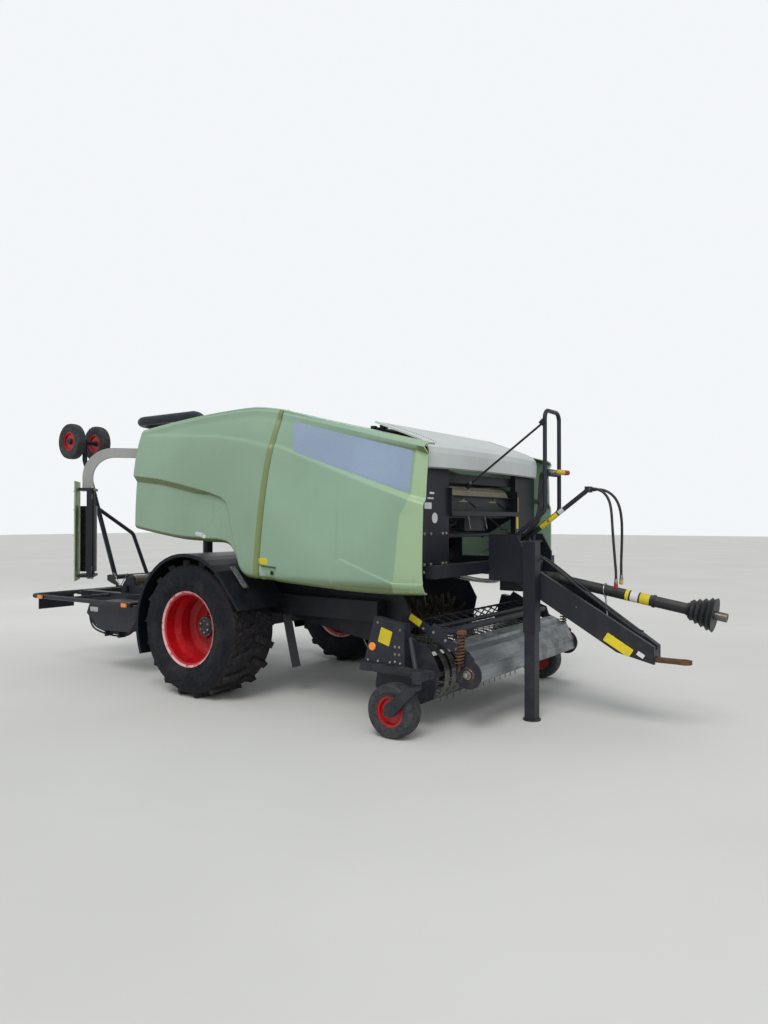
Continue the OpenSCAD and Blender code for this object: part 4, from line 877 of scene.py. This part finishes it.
for side, sign in SIDES:
    front, rear = "cover_front_%s_body" % side, "cover_rear_%s_body" % side
    panel = cover_panel("lilac_panel_" + side, [(0.345, 2.628), (1.665, 2.282), (1.65, 1.892), (0.405, 2.29)],
                        0.022, front_relief, sign, "lilac", front, 0.004, 40)
    cover_panel("yellow_sticker_" + side, [(0.055, 1.345), (0.175, 1.345), (0.175, 1.285), (0.055, 1.285)],
                0.012, front_relief, sign, "yellow", front)
    cover_panel("small_sticker_" + side, [(-0.83, 1.575), (-0.64, 1.545), (-0.64, 1.505), (-0.83, 1.535)],
                0.008, rear_relief, sign, "white", rear)
    latch = Bits().turned([(0.02, -0.004), (0.02, 0.004), (0.017, 0.006), (0.009, 0.006), (0.008, 0.001)],
                          on_cover(front_relief, sign, HANDLE[0] + 0.03, HANDLE[1] - 0.005),
                          Vector((0, sign, 0)), "black", 20).make("cover_latch_" + side, front)

# ---- Front face: blank labels, bolts, net table, knife

FACE_X = 1.652
WALL_Y = 0.648      # half the width between the chamber walls, less a hair

marks = Bits()
for y, z, w, h, look in ((-0.93, 1.905, 0.075, 0.018, "white"), (-0.95, 1.862, 0.1, 0.014, "white"),
                         (-0.99, 1.8, 0.11, 0.052, "white"), (0.695, 1.835, 0.045, 0.15, "yellow"),
                         (0.695, 1.655, 0.045, 0.12, "yellow")):
    marks.label(P(FACE_X, y, z), ACROSS, UP, w, h, look)
marks.turned([(0.044, 0.0), (0.044, 0.0014)], P(FACE_X, -0.885, 1.7), AHEAD, "white", 28)
marks.make("face_marks")

bolts = Bits()
for y in (-0.7, -0.76, -0.95, -1.05, 0.7, 0.76, 0.95, 1.05):
    for z in (1.26, 1.32, 1.57, 2.15):
        bolts.bolt((FACE_X, y, z), AHEAD, 0.014)
bolts.make("face_bolts")

outline = [(-WALL_Y, 1.895), (-WALL_Y, 1.8)]
for low, high in ((-0.5, -0.06), (0.06, 0.5)):
    outline += [(low + (high - low) * k / 10, 1.8 + 0.062 * math.sin(math.pi * k / 10)) for k in range(11)]
outline += [(WALL_Y, 1.8), (WALL_Y, 1.895)]
net_table = Bits().plate(outline, P(1.585, 0, 0), ACROSS, UP, 0.01, "dark")
net_table.box((1.585, -WALL_Y, 1.89), (1.64, WALL_Y, 1.899), "dark", 0.002)
for y in (-0.3, 0.3):
    net_table.bolt((1.5955, y, 1.876), AHEAD, 0.012)
net_table.make("net_table", bevel=0.0015)

knife = Bits()
knife.box((1.47, -0.22, 1.575), (1.575, 0.16, 1.765), "dark", 0.01)
knife.box((1.46, -0.26, 1.745), (1.59, 0.2, 1.757), "dark", 0.003)
for y in (-0.19, 0.13):
    knife.tube([(1.58, y, 1.74), (1.59, y, 1.7), (1.586, y + 0.02, 1.66), (1.59, y + 0.035, 1.6)],
               0.012, "bolt", 8, smooth=4)
    knife.bolt((1.575, y, 1.72), AHEAD)
knife.box((1.55, -0.646, 1.535), (1.6, 0.646, 1.56), "dark", 0.003)
for line, d in (([(1.56, 0.2, 1.72), (1.57, 0.36, 1.66), (1.57, 0.5, 1.6), (1.58, 0.62, 1.585)], 0.016),
                ([(1.53, -0.26, 1.7), (1.54, -0.4, 1.64), (1.56, -0.6, 1.66), (1.56, -0.645, 1.72)], 0.014)):
    knife.tube(line, d, "rubber", 8, smooth=6)
knife.make("net_knife")

Bits().plate([(-0.646, 1.7), (0.646, 1.7), (0.646, 1.885), (-0.646, 1.885)], P(1.5815, 0, 0), ACROSS, UP,
             0.003, "black").make("net_tray_front", bevel=0.001)

# ---- Prop across the hood's front, couplers at the hoop, sleeve and labels on the holder

prop = Bits()
prop.tube([(1.69, -0.345, 2.0), (2.3, -0.205, 2.5)], 0.04, "dark", flat=0.45)
prop.tube([(2.3, -0.215, 2.5), (2.33, -0.215, 2.53)], 0.05, "dark")
prop.tube([(1.655, -0.345, 1.97), (1.7, -0.345, 2.008)], 0.046, "dark")
prop.bolt((1.7, -0.365, 2.01), -ACROSS).make("hood_prop")

COUPLER = [(0.017, 0.0), (0.017, 0.02), (0.014, 0.022), (0.014, 0.05), (0.018, 0.052), (0.018, 0.07)]
COUPLER_CAP = [(0.0185, 0.07), (0.021, 0.074), (0.021, 0.105), (0.017, 0.114), (0.006, 0.116)]
couplers = Bits().box((2.3, -0.165, 2.06), (2.345, 0.08, 2.12), "dark", 0.006)
for y, cap in ((-0.135, "cap_yellow"), (-0.085, "cap_yellow"), (-0.03, "cap_red"), (0.02, "cap_red")):
    couplers.turned(COUPLER, P(2.345, y, 2.09), AHEAD, "bolt", 16)
    couplers.turned(COUPLER_CAP, P(2.345, y, 2.09), AHEAD, cap, 16)
    couplers.tube([(2.3, y, 2.09), (2.27, y, 2.085), (2.245, y * 0.8, 2.03), (2.235, y * 0.6 - 0.03, 1.9),
                   (2.23, y * 0.5 - 0.04, 1.78), (2.19, y * 0.5 - 0.04, 1.66), (2.1, y * 0.5 - 0.03, 1.56),
                   (2.02, y * 0.5 - 0.03, 1.5)], 0.019, "hose", 10, smooth=6)
couplers.make("coupler_rail")


def bands(bits, ends, spans, sides):
    """Bands around a bar: (start, end) as shares of its length, then the diameter and the look."""
    a, b = Vector(ends[0]), Vector(ends[1])
    for t0, t1, d, look in spans:
        bits.tube([tuple(a.lerp(b, t0)), tuple(a.lerp(b, t1))], d, look, sides)
    return bits


HOLDER = (2.105, -0.04, 1.53), (2.65, -0.04, 1.94)
bands(Bits(), HOLDER, ((0.22, 0.5, 0.0425, "yellow"), (0.52, 0.6, 0.0425, "white")), 20).bolt(
    (2.3, -0.0615, 1.675), -ACROSS, 0.012).make("holder_sleeve")

# ---- Drive shaft: guard bands, and the strap that holds the guard

SHAFT = (2.26, 0.0, 1.19), (3.65, 0.0, 0.945)
STRAP_R = 0.054
bands(Bits(), SHAFT, ((0.5, 0.52, 0.0925, "yellow"), (0.53, 0.575, 0.0925, "white"),
                      (0.585, 0.64, 0.0925, "yellow"), (0.655, 0.668, 0.104, "rubber"),
                      (0.05, 0.09, 0.104, "rubber"), (0.845, 0.86, 0.104, "rubber")), 28).make("drive_bands")
mid = Vector(SHAFT[0]).lerp(Vector(SHAFT[1]), 0.375)
strap = Bits().tube([(mid.x, mid.y + STRAP_R * c, mid.z + STRAP_R * s) for c, s in circle(20, 21)],
                    0.01, "bolt", 8)
strap.tube([(mid.x + dx, y, mid.z + dz) for dx, y, dz in (
    (0.0, 0.0, -0.05), (0.01, -0.01, -0.12), (0.02, -0.02, -0.2), (0.03, -0.05, -0.25))],
    0.014, "silver", 8, smooth=5).make("drive_strap")

# ---- Drawbar: labels on the right beam's outer face, and lines above it

BEAM_START, BEAM_HALF = (2.05, -0.232), 0.04
turn = math.atan((0.232 - 0.06) / 1.15)
beam_along = Vector((math.cos(turn), math.sin(turn), 0.0))
beam_out = Vector((math.sin(turn), -math.cos(turn), 0.0))
slope = Vector((beam_along.x, beam_along.y, -0.633)).normalized()
upper = beam_out.cross(slope).normalized()
if upper.z < 0:
    upper = -upper
drawbar_marks = Bits()
for run, z, w, h, look, corner in ((0.885, 0.672, 0.24, 0.075, "yellow", 0.008),
                                   (1.06, 0.605, 0.06, 0.035, "white", 0.005)):
    q = Vector((*BEAM_START, 0.0)) + beam_along * run + beam_out * BEAM_HALF
    drawbar_marks.label(P(q.x, q.y, z), slope, upper, w, h, look, corner=corner)
drawbar_marks.make("drawbar_marks")

above = Bits()
above.tube([(2.12, -0.195, 1.405), (2.32, -0.205, 1.35), (2.62, -0.185, 1.125), (3.06, -0.118, 0.8),
            (3.14, -0.104, 0.76)], 0.02, "dark", 10, smooth=6)
above.tube([(2.12, -0.16, 1.415), (2.34, -0.175, 1.35), (2.66, -0.15, 1.115), (3.02, -0.098, 0.84),
            (3.12, -0.08, 0.79)], 0.013, "hose", 10, smooth=6)
for run in (0.25, 0.55, 0.85):
    x, y = BEAM_START[0] + run * math.cos(turn), BEAM_START[1] + run * math.sin(turn)
    z = 1.38 - 0.735 * run
    above.tube([(x, y - 0.03, z - 0.02), (x, y, z + 0.022), (x, y + 0.05, z - 0.02)], 0.01, "bolt", 8)
above.make("drawbar_lines")

# ---- Pipes under the net table, in front of the chamber

pipes = Bits()
pipes.tube([(1.7, -0.6, 1.235), (1.705, -0.5, 1.2), (1.712, -0.2, 1.15), (1.715, 0.045, 1.135),
            (1.7, 0.3, 1.15), (1.69, 0.6, 1.235)], 0.026, "arm", smooth=6)
pipes.tube([(1.69, -0.6, 1.21), (1.695, -0.46, 1.17), (1.7, 0.045, 1.11), (1.69, 0.3, 1.13),
            (1.69, 0.6, 1.21)], 0.018, "bolt", 10, smooth=6)
pipes.tube([(1.735, 0.045, 1.26), (1.73, 0.045, 1.12)], 0.03, "arm")
for low, high in (((1.69, 0.59, 1.18), (1.73, 0.64, 1.265)), ((1.7, 0.015, 1.215), (1.76, 0.075, 1.265)),
                  ((1.69, -0.64, 1.18), (1.73, -0.59, 1.265))):
    pipes.box(low, high, "dark", 0.006)
pipes.make("front_pipes")

# ---- Pick-up: labels, reflector, bolts, bearings and springs on both sides, and the reel's core

PICKUP_FACE, ARM_FACE, SPRING_Y = 1.2, 1.0145, 1.05
COIL_R, COIL_TURNS, COIL_STEPS = 0.03, 9, 12
for side, sign in SIDES:
    out = Vector((0, sign, 0))
    bits = Bits().label(P(1.372, sign * PICKUP_FACE, 0.735), Vector((0.96, 0, -0.28)) * -sign,
                        Vector((0.28, 0, 0.96)), 0.115, 0.125, "yellow")
    bits.turned([(0.034, 0.0), (0.034, 0.006), (0.03, 0.01), (0.004, 0.011)],
                P(1.245, sign * PICKUP_FACE, 0.645), out, "orange")
    for x, z in ((1.2, 0.53), (1.3, 0.53), (1.42, 0.53), (1.52, 0.53), (1.52, 0.8), (1.3, 0.845),
                 (1.47, 0.66), (1.47, 0.6), (1.47, 0.54), (1.51, 0.66), (1.51, 0.6)):
        bits.bolt((x, sign * PICKUP_FACE, z), out, 0.011)
    bits.make("pickup_marks_" + side, "pickup")

    arm = Bits().label(P(1.545, sign * ARM_FACE, 0.862), Vector((0.88, 0, -0.47)) * -sign,
                       Vector((0.47, 0, 0.88)), 0.12, 0.055, "yellow")
    for x, z in ((1.62, 0.8), (1.72, 0.775), (1.83, 0.72), (1.93, 0.66)):
        arm.bolt((x, sign * ARM_FACE, z), out, 0.013)
    bearing = P(2.035, sign * ARM_FACE, 0.47)
    arm.turned([(0.046, 0.0), (0.046, 0.006), (0.04, 0.01), (0.036, 0.022), (0.024, 0.024), (0.02, 0.05),
                (0.012, 0.054)], bearing, out, "bolt")
    arm.turned([(0.06, 0.0), (0.06, 0.004), (0.056, 0.005)], bearing, out, "rust", 32)
    arm.make("windguard_fittings_" + side, "windguard")

    low, high = Vector((1.975, sign * SPRING_Y, 0.545)), Vector((1.995, sign * SPRING_Y, 0.775))
    coil = []
    for k in range(COIL_TURNS * COIL_STEPS + 1):
        a = 2 * math.pi * k / COIL_STEPS
        q = low.lerp(high, k / (COIL_TURNS * COIL_STEPS))
        coil.append((q.x + COIL_R * math.cos(a), q.y + COIL_R * math.sin(a), q.z))
    spring = Bits().tube(coil, 0.0135, "rust", 8)
    spring.tube([(low.x, low.y, low.z - 0.05), (high.x, high.y, high.z + 0.05)], 0.016, "rust", 10)
    x, y, z = high
    spring.box((x - 0.03, y - 0.03, z + 0.005), (x + 0.035, y + 0.03, z + 0.045), "rust", 0.008)
    spring.make("windguard_spring_" + side, "windguard")

Bits().turned([(0.095, -0.985), (0.105, -0.98), (0.105, 0.98), (0.095, 0.985)], P(1.55, 0, 0.42), ACROSS,
              "rubber", 28).make("reel_core", "reel")


# ---- Wheels: caps with their bolts on the hubs, nuts of the small wheels

def surface_under(node, start, direction):
    """Where a ray from a point first meets a CAD node."""
    tree = BVHTree.FromObject(nodes[node], bpy.context.evaluated_depsgraph_get())
    hit = tree.ray_cast(start, Vector(direction).normalized())[0]
    if hit is None:
        raise RuntimeError("no surface of %s there" % node)
    return hit


STUDS, STUD_RING = 6, 0.056
for side, sign in SIDES:
    out = Vector((0, sign, 0))
    face = surface_under("rim_" + side, Vector((AXLE[0], sign * 2.0, AXLE[1] + 0.06)), (0, -sign, 0)).y
    cap = Bits().turned([(0.078, -0.01), (0.078, 0.004), (0.07, 0.012), (0.034, 0.016), (0.028, 0.01),
                         (0.01, 0.01)], Vector((AXLE[0], face, AXLE[1])), out, "hub", 28)
    for k in range(STUDS):
        a = math.radians(30 + 360 / STUDS * k)
        cap.turned([(0.011, 0.006), (0.011, 0.015), (0.008, 0.018)],
                   Vector((AXLE[0] + STUD_RING * math.cos(a), face, AXLE[1] + STUD_RING * math.sin(a))), out,
                   "bolt", 6)
    cap.make("hub_cap_" + side, "wheel_" + side)

    low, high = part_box("gauge_wheel_" + side)
    Bits().turned([(0.016, -0.004), (0.016, 0.008), (0.01, 0.014)],
                  Vector((GAUGE[0], low.y if sign < 0 else high.y, GAUGE[1])), out, "bolt", 6
                  ).make("gauge_nut_" + side, "gauge_" + side)

# ---- Mudguards: a reflector strip on each one's front slope

GUARD_DOWN = (Vector((-0.045, 0, 0.915)) - Vector((-0.275, 0, 1.165))).normalized()
GUARD_FACING = Vector((0.73, 0, 0.68))
for side, sign in SIDES:
    Bits().label(P(-0.205, sign * 1.3, 1.15) + GUARD_FACING * 0.012, GUARD_DOWN * -sign, ACROSS, 0.26, 0.07,
                 "silver", thick=0.0015).make("mudguard_reflector_" + side)

# ---- Wrapper: blank labels, lamp seats, chain, hoses and the stretchers' fittings

rear = Bits()
for y in (-1.15, 1.05):
    rear.box((-3.712, y, 0.628), (-3.7065, y + 0.1, 0.7), "orange", 0.002)
for y in (-0.86, 0.86):
    rear.label(P(-3.7075, y, 0.675), -ACROSS, UP, 0.18, 0.055, "white")
for _, sign in SIDES:
    rear.label(P(-2.62, sign * 1.1505, 0.69), AHEAD * -sign, UP, 0.14, 0.05, "white")
rear.make("rear_marks")

seats = Bits()
for y in (-1.278, 1.278):
    for x in (-3.46, -1.9):
        seats.box((x - 0.046, y - 0.004, 0.764), (x + 0.046, y + 0.004, 0.816), "rubber", 0.003)
seats.make("lamp_seats")

CHAIN_Y, LINKS = -0.645, 13
LINK_LONG, LINK_WIDE = 0.0105, 0.006
chain = Bits()
for hang, (a, b) in enumerate((((-2.975, 1.055), (-2.845, 0.9)), ((-2.845, 0.9), (-2.715, 1.055)))):
    d = Vector((b[0] - a[0], 0, b[1] - a[1])).normalized()
    for k in range(LINKS):
        t = (k + 0.5) / LINKS
        middle = Vector((a[0] + (b[0] - a[0]) * t, CHAIN_Y, a[1] + (b[1] - a[1]) * t))
        wide = ACROSS if (k + hang) % 2 else d.cross(ACROSS)
        chain.tube([tuple(middle + d * (LINK_LONG * c) + wide * (LINK_WIDE * s)) for c, s in circle(12, 13)],
                   0.0042, "bolt", 6)
chain.make("table_chain", "wrap_table")

for side, sign in SIDES:
    hoses = Bits()
    for dx, low in ((0.0, 0.415), (0.03, 0.44), (0.06, 0.455)):
        line = ((-2.78, 1.09, 0.74), (-2.785, 1.095, 0.62), (-2.7, 1.1, low + 0.06), (-2.45, 1.08, low),
                (-2.18, 1.06, low + 0.005), (-2.02, 1.04, low + 0.1), (-1.97, 1.0, 0.62))
        hoses.tube([(x + dx, sign * y, z) for x, y, z in line], 0.02, "hose", 10, smooth=8)
    for x in (-2.45, -2.22):
        hoses.box((x - 0.012, sign * 1.08 - 0.05, 0.4), (x + 0.012, sign * 1.08 + 0.05, 0.478), "rubber")
    hoses.make("box_hoses_" + side)

# The stretchers' roll axis stands STRETCHER_R out from the rotor's axis, at two angles
STRETCHER_R = 1.13
ROTOR = P(-2.45, 0, 0)
NUT = [(0.016, 0.0), (0.016, 0.004), (0.011, 0.01)]
for number, angle in ((1, 180 + 48), (2, 48)):
    a = math.radians(angle)
    radial, tangent = Vector((math.cos(a), math.sin(a), 0)), Vector((-math.sin(a), math.cos(a), 0))

    def at_arm(r, t, z):
        return ROTOR + radial * r + tangent * t + Vector((0, 0, z))
    fit = Bits()
    for z, up in ((2.06, 1), (1.01, -1)):
        for t in (0.05, 0.115):
            fit.turned([(0.02, 0.0), (0.02, 0.01), (0.011, 0.012), (0.011, 0.026)], at_arm(1.07, t, z),
                       (0, 0, up), "bolt", 6)
        fit.turned([(0.05, 0.0), (0.05, 0.012), (0.03, 0.016), (0.012, 0.034)],
                   at_arm(STRETCHER_R, -0.07, z), (0, 0, up), "bolt", 20)
    for z in (1.96, 1.11):
        fit.label(at_arm(STRETCHER_R - 0.0701, 0.162, z), tangent, UP, 0.03, 0.06, "white")
    for z in (1.2, 1.5, 1.8, 2.02):
        for t in (-0.15, 0.15):
            fit.turned(NUT, at_arm(STRETCHER_R + 0.126, t, z), radial, "bolt", 6)
    for t, thick in ((-0.1903, 0.0022), (0.1903, -0.0022)):
        fit.plate([(0.0, 0.0), (0.005, 0.0), (0.005, 1.166), (0.0, 1.166)],
                  at_arm(STRETCHER_R + 0.121, t, 0.972), radial, UP, thick, "white")
    fit.make("stretcher_fittings_%d" % number, "wrap_rotor")

# ---- Underside, between the wheel and the pick-up

under = Bits().tube([(-0.2, -0.66, 0.8), (-0.13, -0.66, 0.52), (-0.06, -0.66, 0.25)], 0.115, "dark", 4)
under.box((-0.26, -0.7, 0.77), (-0.1, -0.62, 0.83), "dark", 0.008)
under.bolt((-0.18, -0.7, 0.8), -ACROSS, 0.018).make("underside_post")

# ---- Hood: two rows of rivets along its sides

RIVETS, RIVET_PITCH = 21, 0.0235
trim = Bits()
for y in (-0.93, 0.93):
    for k in range(RIVETS):
        at = surface_under("hood", P(1.22 + k * RIVET_PITCH, y, 2.8), (0, 0, -1))
        trim.turned([(0.006, -0.001), (0.006, 0.0012), (0.003, 0.003)], at, (0.3, 0, 0.95), "rubber", 8)
trim.make("hood_rivets", "hood_body")
